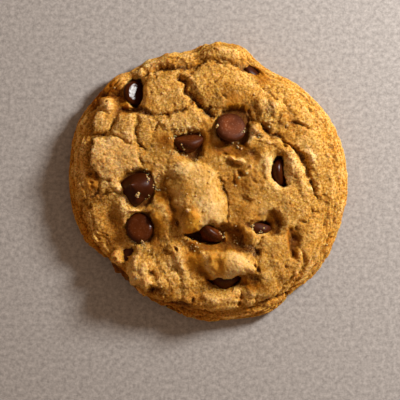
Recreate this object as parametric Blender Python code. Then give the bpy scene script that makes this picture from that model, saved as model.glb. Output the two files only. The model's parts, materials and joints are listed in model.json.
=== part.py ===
"""A home-baked chocolate chip cookie, at its real size, standing on z = 0 with its crown up.

The dough is one solid: a puck with a wandering rim, a flat foot and a rounded side, whose crown carries the
lumps, slabs, hollows and broad cracks that form as it spreads and sets. Whole chocolate morsels sit in it, each
in a pocket cut to its own shape. Lengths in the tables are millimetres, bearings are degrees from +X.
"""

import math
from typing import NamedTuple

import bmesh
import bpy
import numpy as np
from mathutils import Matrix, Vector, noise

MM = 0.001

# ---------------------------------------------------------------------------------------------------------------
# Driving dimensions
# ---------------------------------------------------------------------------------------------------------------

EQUATOR_HEIGHT = 2.7  # height at which the side is widest
CROWN_HEIGHT = 11.7  # height of the plain crown over the centre
FOOT_INSET = 0.035  # share of the radius by which the foot stands inside the widest line
RIM = (  # (bearing, radius) of the plan outline, which runs smoothly through these
    (0, 42.0),
    (16, 41.7),
    (31, 40.9),
    (46, 39.5),
    (60, 37.7),
    (69, 39.5),
    (77, 42.0),
    (86, 41.9),
    (97, 39.3),
    (112, 40.1),
    (124, 40.3),
    (140, 42.9),
    (154, 43.2),
    (170, 42.2),
    (190, 41.8),
    (205, 41.2),
    (216, 39.6),
    (226, 38.5),
    (241, 39.9),
    (258, 41.8),
    (280, 42.4),
    (299, 43.3),
    (307, 42.0),
    (320, 42.6),
    (340, 41.7),
)
UNEVENNESS = 0.45  # height of the gentle rise and fall all over the crown
UNEVEN_LENGTH = 9.0  # and its wavelength
RELIEF_FADES = (0.84, 0.99)  # shares of the way out between which all relief dies away above the foot

MORSEL_RADIUS = 4.7
MORSEL_HEIGHT = 6.6
MORSEL_SHOULDER = 0.7  # height of the rounded edge round the flat base
MORSEL_TAPER = 1.5  # above 1, the flank is hollow towards the tip
WELD = 0.01
CLEARANCE = 0.35  # gap between a morsel and its pocket
WELL_RISE = 12.0  # how far a well reaches above the morsel that stands in it


class Lump(NamedTuple):
    """A rounded rise or, with a negative rise, a hollow."""

    x: float
    y: float
    length: float  # half the length along its bearing
    width: float  # half the width across it
    bearing: float
    rise: float
    flatness: float = 0.0  # share of the size that is level top


class Slab(NamedTuple):
    """A plate of crust standing above the rest, with a fairly steep edge."""

    rise: float
    edge: float
    corners: tuple


class Crack(NamedTuple):
    width: float
    depth: float
    line: tuple


class Chip(NamedTuple):
    """A morsel: where the middle of its flat base is, and which way its tip points."""

    x: float
    y: float
    z: float
    bearing: float
    lift: float  # degrees above level, -90 for a morsel with its flat base up
    size: float = 1.0
    open_above: bool = False  # whether the dough leaves all of it in sight from above
    slot: tuple = ()  # (half width, half length, bearing of the length) of an opening over it


LUMPS = (
    Lump(-4, -5, 11.0, 7.5, 100, 1.6),  # swell that carries the centre mound
    Lump(-11, -8, 9.5, 2.8, 98, -2.8),  # valley west of the mound
    Lump(5, -16.8, 9.0, 3.8, 172, -4.6, 0.5),  # hollow under the mound's lip
    Lump(19, -12.4, 5.4, 3.4, 160, -3.2, 0.4),  # hollow east of it
    Lump(5, -31.4, 7.0, 2.4, 4, -3.0, 0.3),  # cleft under the south lump
    Lump(21.6, 2.8, 4.8, 2.6, 100, -3.2, 0.4),  # slot in the east crown
    Lump(17.6, 3.8, 6.5, 1.8, 103, 1.2),  # lip west of the slot
    Lump(26.6, 2.6, 9.5, 2.0, 112, 1.1),  # ridge east of the slot
    Lump(14.4, 21.0, 3.6, 2.8, 70, -2.0, 0.3),  # dip beside the north-east morsel
    Lump(-5.4, 8.4, 3.6, 3.0, 0, -2.6, 0.2),  # hollow round the tip of the one west of it
    Lump(20.5, 20.5, 6.5, 4.2, 115, 0.9),
    Lump(11.5, 0.5, 6.0, 5.0, 80, -1.1),
    Lump(24, -5.0, 6.0, 4.5, 150, 0.8),
    Lump(-28, -13.5, 6.0, 2.8, 100, -2.0, 0.2),  # hollow on the west side
    Lump(-32.2, -11, 6.5, 2.0, 98, 1.0),
    Lump(-13.0, -11, 8.5, 1.7, 102, 1.3),  # ridge between morsels and valley
    Lump(-6.5, -24, 6.5, 1.9, 122, 0.9),
    Lump(-26.2, -7.6, 3.4, 2.4, 20, 0.9),
    Lump(-20, -25.6, 4.2, 3.2, 110, 1.5, 0.2),
    Lump(-27.2, -22.4, 3.0, 2.4, 130, 1.1),
    Lump(-10.5, -29.5, 6.0, 3.2, 165, 1.1, 0.2),
    Lump(5, -35, 6.5, 2.6, 3, 1.0, 0.3),
    Lump(-30, 22.5, 3.6, 3.2, 60, 1.2, 0.2),
    Lump(-24.6, 17.2, 3.2, 3.0, 90, 0.7, 0.3),
    Lump(-26, 8.5, 6.5, 5.5, 30, 0.7, 0.5),
    Lump(-26.5, 25.5, 4.5, 3.0, 45, -1.2),
    Lump(31.5, 12, 9.0, 3.2, 120, 0.7),
    Lump(31, -17, 6.0, 3.8, 80, 0.8),
    Lump(4.0, 38.8, 7.5, 3.0, 172, 0.9),  # roll of the north lobe
)

SLABS = (
    Slab(  # centre mound: a torn flap of crust, high at the south and east
        3.0,
        2.8,
        ((-10.4, 3.4), (-4, 6.4), (2.6, 4.4), (4.2, -1.5), (6.2, -7.2), (5.4, -12.6), (1.0, -12.6), (-5.6, -16.0),
         (-7.6, -14.2), (-6.4, -8.0), (-8.0, -1.0)),
    ),
    Slab(  # south lump
        2.8,
        3.0,
        ((-5.0, -21.6), (0.5, -20.4), (9.5, -21.6), (13.6, -25.8), (13.0, -27.6), (8.5, -28.2), (4.0, -29.8),
         (-1.0, -28.2)),
    ),
    Slab(  # north-west plates, inside the rolled rim
        0.8,
        2.8,
        ((-19, 31.5), (-11.5, 33.6), (-3.5, 34.4), (3, 36), (8, 33.5), (13, 29), (13.5, 24), (4, 22), (0, 18.6),
         (-3, 15.6), (-10, 14.6), (-20, 12), (-21, 20)),
    ),
    Slab(  # west plate
        0.8,
        2.8,
        ((-34.6, 13), (-29, 14), (-24, 11), (-20.8, 8), (-20.6, 4), (-25.5, 2.4), (-32, 2.4), (-35.6, 5.5)),
    ),
    Slab(  # south-east plate
        0.9,
        2.8,
        ((16.5, -17), (23.6, -17.5), (24.4, -22.5), (27.2, -25.5), (24.5, -32), (17, -35.6), (13.6, -34),
         (15.5, -27.5), (14.2, -22)),
    ),
)

CRACKS = (
    Crack(4.2, 1.5, ((-20, 31.6), (-15, 33.4), (-9, 34.4), (-4.5, 35), (0, 36.8), (5, 36.6), (8.5, 34.6))),
    Crack(4.4, 2.3, ((-8.6, 30.6), (-6.9, 28.6), (-6.2, 25.6), (-3.8, 24.2), (-1.6, 21.8), (0.6, 19.4))),
    Crack(5.0, 2.8, ((13.5, 17.6), (17.4, 15), (21.6, 13.2), (25.4, 9.8), (28.2, 7), (29.8, 2.6), (31.6, -2.2),
                     (32.8, -5.4))),
    Crack(4.4, 1.2, ((22.4, 14.8), (24.2, 17.6), (28, 17.4), (30, 16))),
    Crack(4.4, 1.5, ((31.4, -8.6), (30, -12.2), (27.2, -12.2), (25.6, -15))),
    Crack(5.0, 2.8, ((25.4, -15), (25.4, -19), (25.6, -22.6))),
    Crack(4.4, 1.7, ((28, -20.5), (28.2, -25.5), (26.2, -30), (23.4, -33.4))),
    Crack(4.2, 1.3, ((22.6, -34.4), (17, -37), (11, -38.6), (3, -39), (-5, -38.4), (-12, -36.8))),
    Crack(4.2, 1.3, ((-33.8, 21), (-35.6, 15), (-35.9, 9), (-36.2, 4.6), (-33, 1))),
    Crack(4.4, 1.3, ((-33.6, -4.2), (-29, -3.2), (-25.4, -3.4))),
)

CHIPS = (
    Chip(7.0, 16.8, 11.9, 238, -70, 1.0, True),
    Chip(-6.1, 12.6, 9.8, 278, -30, 0.95, True),
    Chip(-22.7, 26.6, 5.9, 205, -76, 0.85, False, (2.6, 4.2, 105)),
    Chip(-20.5, -2.6, 8.0, 30, 82, 1.1, True),
    Chip(-20.8, -14.2, 10.6, 200, -64, 1.0, True),
    Chip(21.3, 2.7, 8.0, 5, 0, 0.95),
    Chip(2.4, -15.2, 7.9, 215, 4),
    Chip(15.6, -11.6, 6.6, 268, 24, 0.95),
    Chip(4.8, -27.4, 6.4, 268, 4),
    Chip(14.3, 34.2, 5.6, 225, -30, 0.9),
    Chip(-23.7, -21.8, 7.0, 88, 50, 0.8),
)

LUMP_REACH = 1.35
DOUGH_CELLS = 54  # squares along each side of the dough's grid
SOFTENING = 0.4  # share of the way that each height is eased to the mean of those round it
MORSEL_SIDES = 14
SHOULDER_POINTS = 3
FLANK_POINTS = 5
SLOT_SIDES = 24
MERIDIAN_SAMPLES = 200
SHARP_ANGLE = 50

# ---------------------------------------------------------------------------------------------------------------
# Shape functions. They take and return numpy arrays, in millimetres
# ---------------------------------------------------------------------------------------------------------------


def smooth(low, high, value):
    t = np.clip((value - low) / (high - low), 0, 1)
    return t * t * (3 - 2 * t)


def rim_radius(bearing):
    """Radius of the outline at a bearing in radians: a closed curve with a matching slope at each point of RIM."""
    knots = np.radians([b for b, _ in RIM])
    radii = np.array([r for _, r in RIM])
    knots = np.concatenate([[knots[-1] - 2 * np.pi], knots, [knots[0] + 2 * np.pi, knots[1] + 2 * np.pi]])
    radii = np.concatenate([radii[-1:], radii, radii[:2]])
    slopes = np.gradient(radii, knots)
    bearing = np.mod(bearing, 2 * np.pi)
    after = np.clip(np.searchsorted(knots, bearing, side="right"), 1, len(knots) - 1)
    before = after - 1
    gap = knots[after] - knots[before]
    t = (bearing - knots[before]) / gap
    start = radii[before] * (1 + 2 * t) * (1 - t) ** 2 + gap * slopes[before] * t * (1 - t) ** 2
    end = radii[after] * t * t * (3 - 2 * t) - gap * slopes[after] * t * t * (1 - t)
    return start + end


def meridian(share):
    """(radius as a share of the rim's, height) at a share of the way from the crown's middle to the foot."""
    turn = np.linspace(0, np.pi / 2, MERIDIAN_SAMPLES)
    upper_radius = np.sqrt(np.sin(turn))
    upper_height = EQUATOR_HEIGHT + (CROWN_HEIGHT - EQUATOR_HEIGHT) * np.cos(turn)
    lower_radius = 1 - FOOT_INSET * (1 - np.cos(turn[1:]))
    lower_height = EQUATOR_HEIGHT * (1 - np.sin(turn[1:]))
    radius = np.concatenate([upper_radius, lower_radius])
    height = np.concatenate([upper_height, lower_height])
    mean_rim = np.mean([r for _, r in RIM])
    steps = np.hypot(np.diff(radius * mean_rim), np.diff(height))
    along = np.concatenate([[0], np.cumsum(steps)]) / steps.sum()
    return np.interp(share, along, radius), np.interp(share, along, height)


def disc_grid(cells):
    """(share of the way out, bearing) for a square grid wrapped evenly onto a disc, with no pole at its middle."""
    side = np.linspace(-1, 1, cells + 1)
    a, b = np.meshgrid(side, side, indexing="ij")
    wide = np.abs(a) > np.abs(b)
    out = np.where(wide, np.abs(a), np.abs(b))
    with np.errstate(divide="ignore", invalid="ignore"):
        bearing = np.where(
            wide,
            np.pi / 4 * b / a + np.where(a < 0, np.pi, 0),
            np.pi / 2 - np.pi / 4 * a / b + np.where(b < 0, np.pi, 0),
        )
    return out, np.where(out == 0, 0, bearing)


def distance_to_line(x, y, line):
    """Distance from each point to an open chain of straight runs."""
    nearest = np.full(np.shape(x), np.inf)
    for (x0, y0), (x1, y1) in zip(line, line[1:]):
        dx, dy = x1 - x0, y1 - y0
        t = np.clip(((x - x0) * dx + (y - y0) * dy) / (dx * dx + dy * dy), 0, 1)
        nearest = np.minimum(nearest, np.hypot(x - x0 - t * dx, y - y0 - t * dy))
    return nearest


def inside(x, y, corners):
    odd = np.zeros(np.shape(x), bool)
    for (x0, y0), (x1, y1) in zip(corners, corners[1:] + corners[:1]):
        crosses = (y0 > y) != (y1 > y)
        if y0 != y1:
            odd ^= crosses & (x < x0 + (y - y0) * (x1 - x0) / (y1 - y0))
    return odd


def lump_height(x, y, lump):
    """It dies away LUMP_REACH times as far out as the lump's own size."""
    turn = math.radians(lump.bearing)
    along = (x - lump.x) * math.cos(turn) + (y - lump.y) * math.sin(turn)
    across = (y - lump.y) * math.cos(turn) - (x - lump.x) * math.sin(turn)
    away = np.hypot(along / lump.length, across / lump.width)
    return lump.rise * (1 - smooth(lump.flatness, LUMP_REACH, away))


def slab_height(x, y, slab):
    gap = distance_to_line(x, y, slab.corners + slab.corners[:1])
    depth_inside = np.where(inside(x, y, slab.corners), gap, -gap)
    return slab.rise * smooth(-slab.edge / 2, slab.edge / 2, depth_inside)


def crack_height(x, y, crack):
    return -crack.depth * (1 - smooth(0, crack.width / 2, distance_to_line(x, y, crack.line)))


def unevenness(x, y):
    places = zip(np.ravel(x) / UNEVEN_LENGTH, np.ravel(y) / UNEVEN_LENGTH)
    values = [noise.fractal(Vector((u, v, 0.5)), 1.0, 2.0, 2) for u, v in places]
    return UNEVENNESS * np.reshape(values, np.shape(x))


def relief(x, y):
    """Rise of the crust above the plain puck."""
    total = unevenness(x, y)
    for heights, pieces in ((lump_height, LUMPS), (slab_height, SLABS), (crack_height, CRACKS)):
        for piece in pieces:
            total = total + heights(x, y, piece)
    return total


def softened(grid):
    """The grid with each value eased part of the way to its neighbours, so that no detail is finer than the cells."""
    wide = np.pad(grid, 1, mode="edge")
    rows = (wide[:-2] + 2 * wide[1:-1] + wide[2:]) / 4
    blurred = (rows[:, :-2] + 2 * rows[:, 1:-1] + rows[:, 2:]) / 4
    return grid + SOFTENING * (blurred - grid)


def dough_points():
    """The dough's skin above its foot, as a grid of points."""
    share, bearing = disc_grid(DOUGH_CELLS)
    radius, height = meridian(share)
    radius = radius * rim_radius(bearing)
    puck = np.stack([radius * np.cos(bearing), radius * np.sin(bearing), height], axis=-1)
    across, up = np.gradient(puck, axis=(0, 1))
    normal = np.cross(across, up)
    normal /= np.linalg.norm(normal, axis=-1, keepdims=True)
    rise = softened(relief(puck[..., 0], puck[..., 1])) * (1 - smooth(*RELIEF_FADES, share))
    return puck + normal * rise[..., None]


# ---------------------------------------------------------------------------------------------------------------
# Blender objects
# ---------------------------------------------------------------------------------------------------------------



def clear_scene():
    for obj in list(bpy.data.objects):
        bpy.data.objects.remove(obj, do_unlink=True)


def add_object(name, mesh, material, collection=None):
    obj = bpy.data.objects.new(name, mesh)
    (collection or bpy.context.scene.collection).objects.link(obj)
    if material and not mesh.materials:
        mesh.materials.append(material)
    return obj


def make_material(name, colour, roughness):
    material = bpy.data.materials.new(name)
    material.use_nodes = True
    shader = material.node_tree.nodes["Principled BSDF"]
    shader.inputs["Base Color"].default_value = (*colour, 1)
    shader.inputs["Roughness"].default_value = roughness
    shader.inputs["Metallic"].default_value = 0
    return material


def split(points, quad):
    """The quad as two triangles, cut along its shorter diagonal so that ridges at an angle to the grid stay clean."""
    a, b, c, d = quad
    if np.linalg.norm(points[a] - points[c]) <= np.linalg.norm(points[b] - points[d]):
        return (a, b, c), (a, c, d)
    return (a, b, d), (b, c, d)


def dough_mesh():
    """The grid of the crown and side, closed by one flat face underneath."""
    rows = DOUGH_CELLS + 1
    last = DOUGH_CELLS
    points = dough_points().reshape(-1, 3) * MM
    south = [(i, 0) for i in range(last)]
    east = [(last, j) for j in range(last)]
    north = [(last - i, last) for i in range(last)]
    west = [(0, last - j) for j in range(last)]
    foot = [i * rows + j for i, j in reversed(south + east + north + west)]
    points[foot, 2] = 0
    faces = [foot]
    for i in range(last):
        for j in range(last):
            corner = i * rows + j
            faces += split(points, (corner, corner + rows, corner + rows + 1, corner + 1))
    mesh = bpy.data.meshes.new("dough")
    mesh.from_pydata(points.tolist(), [], faces)
    mesh.shade_smooth()
    mesh.set_sharp_from_angle(angle=math.radians(SHARP_ANGLE))
    return mesh


def morsel_profile(grow):
    """(radius, height) up the side of a morsel from the middle of its flat base to its tip, pushed out by grow."""
    turns = np.linspace(0, np.pi / 2, SHOULDER_POINTS)
    edge = MORSEL_RADIUS - MORSEL_SHOULDER * (1 - np.sin(turns)), MORSEL_SHOULDER * (1 - np.cos(turns))
    climb = np.linspace(0, 1, FLANK_POINTS)[1:]
    flank = (
        MORSEL_RADIUS * np.cos(climb * np.pi / 2) ** MORSEL_TAPER,
        MORSEL_SHOULDER + (MORSEL_HEIGHT - MORSEL_SHOULDER) * climb,
    )
    radius = np.concatenate([[0], edge[0], flank[0]])
    height = np.concatenate([[0], edge[1], flank[1]])
    slope = np.stack([np.gradient(height), -np.gradient(radius)], axis=-1)
    outward = slope / np.linalg.norm(slope, axis=-1, keepdims=True)
    outward[0] = (0, -1)
    outward[-1] = (0, 1)
    return radius + grow * outward[:, 0], height + grow * outward[:, 1]


def morsel_mesh(name, grow):
    """The profile turned about Z into one closed body."""
    radius, height = morsel_profile(grow)
    radius[0] = radius[-1] = 0
    shape = bmesh.new()
    corners = [shape.verts.new((r * MM, 0, z * MM)) for r, z in zip(radius, height)]
    edges = [shape.edges.new(pair) for pair in zip(corners, corners[1:])]
    bmesh.ops.spin(
        shape,
        geom=corners + edges,
        cent=(0, 0, 0),
        axis=(0, 0, 1),
        angle=2 * math.pi,
        steps=MORSEL_SIDES,
        use_merge=True,
    )
    bmesh.ops.remove_doubles(shape, verts=shape.verts, dist=WELD * MM)
    bmesh.ops.recalc_face_normals(shape, faces=shape.faces)
    mesh = bpy.data.meshes.new(name)
    shape.to_mesh(mesh)
    shape.free()
    mesh.shade_smooth()
    mesh.set_sharp_from_angle(angle=math.radians(SHARP_ANGLE))
    return mesh


def chip_placement(chip):
    """World matrix that puts the middle of the flat base in place and turns +Z to where the tip points."""
    bearing, lift = math.radians(chip.bearing), math.radians(chip.lift)
    tip = Vector((math.cos(lift) * math.cos(bearing), math.cos(lift) * math.sin(bearing), math.sin(lift)))
    turn = tip.to_track_quat("Z", "Y").to_matrix().to_4x4()
    place = Matrix.Translation(Vector((chip.x, chip.y, chip.z)) * MM)
    return place @ turn @ Matrix.Scale(chip.size, 4)


def add_chips(chocolate):
    mesh = morsel_mesh("morsel", 0)
    for number, chip in enumerate(CHIPS, 1):
        obj = add_object(f"chip_{number:02d}", mesh, chocolate)
        obj.matrix_world = chip_placement(chip)


def well_mesh(name, pocket, placement):
    """The pocket, in place, together with all the room straight above it."""
    shape = bmesh.new()
    for vertex in pocket.vertices:
        low = placement @ vertex.co
        shape.verts.new(low)
        shape.verts.new(low + Vector((0, 0, WELL_RISE * MM)))
    hull = bmesh.ops.convex_hull(shape, input=shape.verts)
    bmesh.ops.delete(shape, geom=hull["geom_interior"], context="VERTS")
    bmesh.ops.recalc_face_normals(shape, faces=shape.faces)
    mesh = bpy.data.meshes.new(name)
    shape.to_mesh(mesh)
    shape.free()
    return mesh


def slot_mesh(name, slot):
    """An upright elliptical prism, from the height of the morsel's base up through the crust."""
    half_width, half_length, bearing = slot
    shape = bmesh.new()
    bmesh.ops.create_cone(shape, cap_ends=True, segments=SLOT_SIDES, radius1=1, radius2=1, depth=1)
    stretch = Matrix.Diagonal((half_length * MM, half_width * MM, WELL_RISE * MM, 1))
    turn = Matrix.Rotation(math.radians(bearing), 4, "Z")
    shape.transform(turn @ stretch @ Matrix.Translation((0, 0, 0.5)))
    mesh = bpy.data.meshes.new(name)
    shape.to_mesh(mesh)
    shape.free()
    return mesh


def add_pockets():
    """The cutters that leave each morsel its pocket in the dough."""
    pockets = bpy.data.collections.new("pockets")
    bpy.context.scene.collection.children.link(pockets)
    pocket = morsel_mesh("pocket", CLEARANCE)
    for number, chip in enumerate(CHIPS, 1):
        name = f"pocket_{number:02d}"
        if chip.open_above:
            obj = add_object(name, well_mesh(name, pocket, chip_placement(chip)), None, pockets)
        else:
            obj = add_object(name, pocket, None, pockets)
            obj.matrix_world = chip_placement(chip)
        if chip.slot:
            slot = add_object(f"slot_{number:02d}", slot_mesh("slot", chip.slot), None, pockets)
            slot.location = Vector((chip.x, chip.y, chip.z)) * MM
    for obj in pockets.objects:
        obj.hide_render = True
        obj.display_type = "WIRE"
    return pockets


def add_dough(crust, pockets):
    obj = add_object("dough", dough_mesh(), crust)
    cut = obj.modifiers.new("pockets", "BOOLEAN")
    cut.operation = "DIFFERENCE"
    cut.operand_type = "COLLECTION"
    cut.collection = pockets
    cut.solver = "EXACT"


def centre_on_origin():
    """Moves every object alike, so that the middle of the dough's plan stands on the origin."""
    corners = np.array([vertex.co for vertex in bpy.data.objects["dough"].data.vertices])
    middle = (corners.min(axis=0) + corners.max(axis=0)) / 2
    for obj in bpy.data.objects:
        obj.location.x -= middle[0]
        obj.location.y -= middle[1]


clear_scene()
add_chips(make_material("chocolate", (0.06, 0.022, 0.012), 0.35))
add_dough(make_material("baked_dough", (0.56, 0.30, 0.09), 0.85), add_pockets())
centre_on_origin()
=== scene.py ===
"""The looks of the chocolate chip cookie: crust, crumb and chocolate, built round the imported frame.

Lengths in the tables are millimetres and bearings are degrees from +X, as in the CAD source. The tables
stand where that source has them before it centres the dough on the origin, and `recentring` gives the
same shift here.
"""

import functools
import itertools
import json
import math
from typing import NamedTuple

import bmesh
import bpy
import numpy as np
from mathutils import Matrix, Vector
from mathutils.bvhtree import BVHTree

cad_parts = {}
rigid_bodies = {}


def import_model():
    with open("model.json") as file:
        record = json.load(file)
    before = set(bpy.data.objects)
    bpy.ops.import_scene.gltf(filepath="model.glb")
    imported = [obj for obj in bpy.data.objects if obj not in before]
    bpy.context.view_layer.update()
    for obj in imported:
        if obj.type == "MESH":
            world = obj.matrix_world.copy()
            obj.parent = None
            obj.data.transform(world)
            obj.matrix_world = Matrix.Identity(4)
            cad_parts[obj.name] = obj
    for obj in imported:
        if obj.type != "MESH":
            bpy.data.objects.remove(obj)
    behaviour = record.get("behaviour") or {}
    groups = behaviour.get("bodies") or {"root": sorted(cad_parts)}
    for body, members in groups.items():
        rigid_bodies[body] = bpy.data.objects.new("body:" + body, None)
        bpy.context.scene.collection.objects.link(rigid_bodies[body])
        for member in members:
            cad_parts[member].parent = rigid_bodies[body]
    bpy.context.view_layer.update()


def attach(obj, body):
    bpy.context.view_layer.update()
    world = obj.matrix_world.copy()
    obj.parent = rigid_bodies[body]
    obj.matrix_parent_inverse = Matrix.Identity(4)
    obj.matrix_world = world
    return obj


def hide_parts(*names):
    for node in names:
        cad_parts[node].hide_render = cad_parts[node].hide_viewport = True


MM = 0.001

# The plain puck, as in the CAD

EQUATOR_HEIGHT = 2.7
CROWN_HEIGHT = 11.7
FOOT_INSET = 0.035
RIM = (  # (bearing, radius) of the plan outline
    (0, 42.0), (16, 41.7), (31, 40.9), (46, 39.5), (60, 37.7), (69, 39.5), (77, 42.0), (86, 41.9), (97, 39.3),
    (112, 40.1), (124, 40.3), (140, 42.9), (154, 43.2), (170, 42.2), (190, 41.8), (205, 41.2), (216, 39.6),
    (226, 38.5), (241, 39.9), (258, 41.8), (280, 42.4), (299, 43.3), (307, 42.0), (320, 42.6), (340, 41.7),
)
MERIDIAN_SAMPLES = 400
DOUGH_CELLS = 309

# Places round the cookie, each (bearing, reach to either side, share)

THINS = ((278, 62, 0.85), (140, 32, 0.5))  # where the rim is thinner
# where the rim is pulled in, or with a negative share pushed out
TRIMS = ((248, 26, 0.022), (144, 14, 0.02), (216, 9, 0.02), (230, 12, -0.025))
CALMS = ((305, 45, 0.3),)  # where the crust is less gritty
DARK_FOOT_PLACES = ((229, 24, 0.9),)  # where the foot of the rim is darker
SMOOTH_BEARING = math.radians(150)  # the rim is smoothest round this bearing
PAINTED_SHADE_BEARING = 3.95  # and darkest round this one, the side turned from the lamp, as painted shade, in radians

# Forms of the crust, as in the CAD with finer ones added. A lump is (x, y, length, width, bearing, rise), and
# its flatness where that isn't its table's. It is a rounded rise or, with a negative rise, a hollow.

LUMP_REACH = 1.35  # a lump fades out at this many times its length and width
LUMPS = (
    # the broad forms of the CAD
    (-12, -5, 10, 3.8, 102, -0.5), (3.2, -16.8, 8.4, 3.2, 174, -2.3, 0.5),
    (-6.4, -19, 4, 2.2, 140, -1.3, 0.3), (18.4, -12.6, 5.4, 3.4, 160, -1.6, 0.3),
    (5, -31.4, 7, 2.4, 4, -2, 0.3), (21, 2.8, 4.8, 2.4, 100, -1.2, 0.4), (17.6, 5, 5, 1.7, 103, 0.6),
    (26.6, 2.6, 9.5, 2, 112, 1.1), (13.2, 20.4, 3.6, 2.2, 85, -1.5, 0.3), (6, 9.8, 7, 2.6, 176, -1, 0.2),
    (14.2, 15.2, 2.2, 1.3, 170, 0.9, 0.2), (22, 29, 9, 4.5, 148, 0.8, 0.2),
    (-5.4, 8.4, 3.6, 3, 0, -1.6, 0.2), (20.5, 20.5, 6.5, 4.2, 115, 0.9), (7, -3, 9, 5.2, 85, -1.5, 0.1),
    (24, -5, 6, 4.5, 150, 0.8), (-28, -12.5, 6.5, 2.8, 100, -1.3, 0.2), (-33.8, -11.5, 6.5, 2.2, 96, 0.9),
    (-14.8, -2.5, 6, 2, 95, -1.2, 0.2), (-13.6, -8.6, 5, 1.6, 118, 1, 0.2), (-8.6, -24, 6.5, 1.9, 118, 0.8),
    (-26.2, -7.6, 3.4, 2.4, 20, 0.9), (-20, -25.6, 4.2, 3.2, 110, 1.5, 0.2),
    (-27.2, -22.4, 3, 2.4, 130, 1.1), (-10.5, -29.5, 6, 3.2, 165, 1.1, 0.2),
    (2.6, -36, 8, 3.4, 3, 1.3, 0.3), (-30.6, 22.9, 2.7, 2.6, 60, 1.5, 0.3),
    (-24.6, 17.2, 3.2, 3, 90, 0.7, 0.3), (-26, 8.5, 6.5, 5.5, 30, 0.7, 0.5),
    (-26.5, 25.5, 4.5, 3, 45, -1.2), (31.5, 12, 9, 3.2, 120, 0.7), (31, -17, 6, 3.8, 80, 0.8),
    (4, 38.8, 7.5, 3, 172, 0.9), (-26, 23.6, 4.4, 2.4, 66, -1.5, 0.2),
    (-24.4, 21.4, 4.6, 1.3, 8, -0.9, 0.2), (-20, -25.6, 8, 4.4, 142, 0.8, 0.3),
    # north-west
    (-22.6, 21.6, 4, 1.2, 178, -1.6, 0.2), (-28.5, 30.2, 7, 2, 40, 1.1, 0.2),
    (-18.6, 32.2, 1.2, 0.9, 60, -1.4), (-30.1, 0.3, 0.9, 0.7, 0, -1),
    # north
    (-5.4, 27.3, 2.2, 1.5, 60, -0.8, 0.3), (0.6, 23.4, 3, 2.2, 20, -0.5, 0.2),
    # north-east
    (19.8, 21.6, 2.6, 2, 120, 0.8, 0.1), (18, 17.6, 2.2, 1.5, 120, 0.6), (22.5, 18.2, 2, 1.5, 100, 0.6),
    (14.9, 13.2, 1.3, 0.9, 150, -1), (22.9, 10.6, 0.8, 0.6, 0, -1.3),
    # east
    (23.6, 3.4, 4, 1.4, 102, -0.5), (29.5, 5.3, 3.4, 1.2, 112, -0.8), (33, -4.3, 1.3, 1, 0, 0.7),
    (34.4, -4.6, 0.8, 0.6, 0, -1),
    # centre
    (7.4, 5.2, 2.4, 1.3, 170, -0.7, 0.2), (7.6, 6.9, 2.4, 0.7, 168, 0.8), (10, 2.4, 1.4, 0.8, 150, -1.4),
    (4.9, 7.8, 0.8, 0.7, 0, -1.3), (7.6, 0.8, 2, 0.7, 95, -0.7), (10.8, -6, 2.4, 1.6, 160, -0.8),
    (11.6, 2.7, 0.9, 0.7, 60, 0.8), (9, 0.9, 0.9, 0.8, 0, 0.8), (13.6, 7.6, 2.4, 1.8, 100, -0.7, 0.1),
    (-6.3, -8.6, 1, 0.9, 0, 0.6), (-5.4, -12, 3.8, 3.2, 70, 1.9, 0.4), (-8.2, 3.4, 3.6, 2.4, 20, 0.9, 0.3),
    # south of the centre
    (12.8, -15.8, 1.8, 1.2, 150, 0.3, 0.2), (13.9, -18, 2.4, 1.3, 110, 0.5, 0.2),
    (11, -14.2, 1.3, 0.7, 100, 0.4), (5.2, -16.6, 1.4, 0.6, 100, 1.3), (9, -15.8, 0.8, 0.6, 0, 0.9),
    (-4.6, -18.8, 2.2, 1.1, 140, 0.7, 0.2),
    # west
    (-35, -0.5, 1.6, 1.5, 0, 0.6, 0.3), (-35, -0.5, 0.5, 0.5, 0, -0.8), (-35.5, 2.2, 0.9, 0.6, 0, -1.2),
    (-37.4, -6, 0.8, 0.6, 0, -1), (-35.5, -7.8, 0.9, 0.5, 60, -0.9), (-22.3, -8.5, 2, 0.8, 175, 1.2),
    (-15.4, -10.6, 1.7, 1.5, 0, 0.9, 0.2), (-17.6, 4.2, 2.4, 1.5, 150, -0.5, 0.2),
    # south-west
    (-24.6, -23.4, 1.6, 1, 80, -0.9), (-17, -29.5, 2.6, 1.7, 110, 0.9, 0.3),
    (-13.2, -24.6, 2.8, 2.2, 30, 0.8, 0.3), (-22, -29, 1.5, 0.9, 120, 0.7),
    (-18.4, -32.8, 1.8, 1, 120, 0.7), (-12.6, -33, 2.2, 1.4, 160, 0.5), (-6, -34, 1.9, 1.6, 60, 0.8, 0.3),
    (-27, -23, 2.4, 2, 100, 0.9, 0.3), (-26.9, -22.8, 0.7, 0.6, 0, -0.9), (-5, -35.1, 0.9, 0.7, 60, -1.4),
    (-10, -20.3, 0.9, 0.5, 120, -1.4), (-7, -26.4, 2, 1.2, 120, 0.6),
    # south
    (9, -24.4, 4.2, 2.8, 160, 0.8, 0.1), (1.4, -22.6, 1.5, 1, 60, 0.8), (2.6, -24.4, 2.6, 1.4, 110, -0.8),
    (7.3, -33, 0.6, 0.5, 0, -0.8), (8.4, -34.9, 0.6, 0.4, 0, -0.7), (0, -32.6, 0.5, 0.4, 0, -0.7),
    (0.6, -35.8, 3, 1.6, 0, 0.5, 0.3), (12.2, -34.6, 1.8, 3.4, 0, 0.7, 0.3),
    # south-east
    (14.6, -26.6, 1.1, 0.6, 100, -1.4), (13.6, -25.2, 0.8, 0.5, 100, -1.2),
    (20.6, -25.6, 3, 2.2, 120, 0.5, 0.2), (18.2, -21.6, 2.4, 1.8, 60, -0.5, 0.2),
    (17.6, -28.4, 2.6, 2, 30, 0.5, 0.2), (21.6, -30.6, 2.4, 1.8, 120, -0.5, 0.2),
    (25.8, -18.4, 4.4, 1.8, 92, -1, 0.3), (14.3, -21.4, 1.5, 1.1, 30, -1.4),
    (23.3, -25.2, 0.7, 0.5, 0, -0.8),
)

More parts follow.
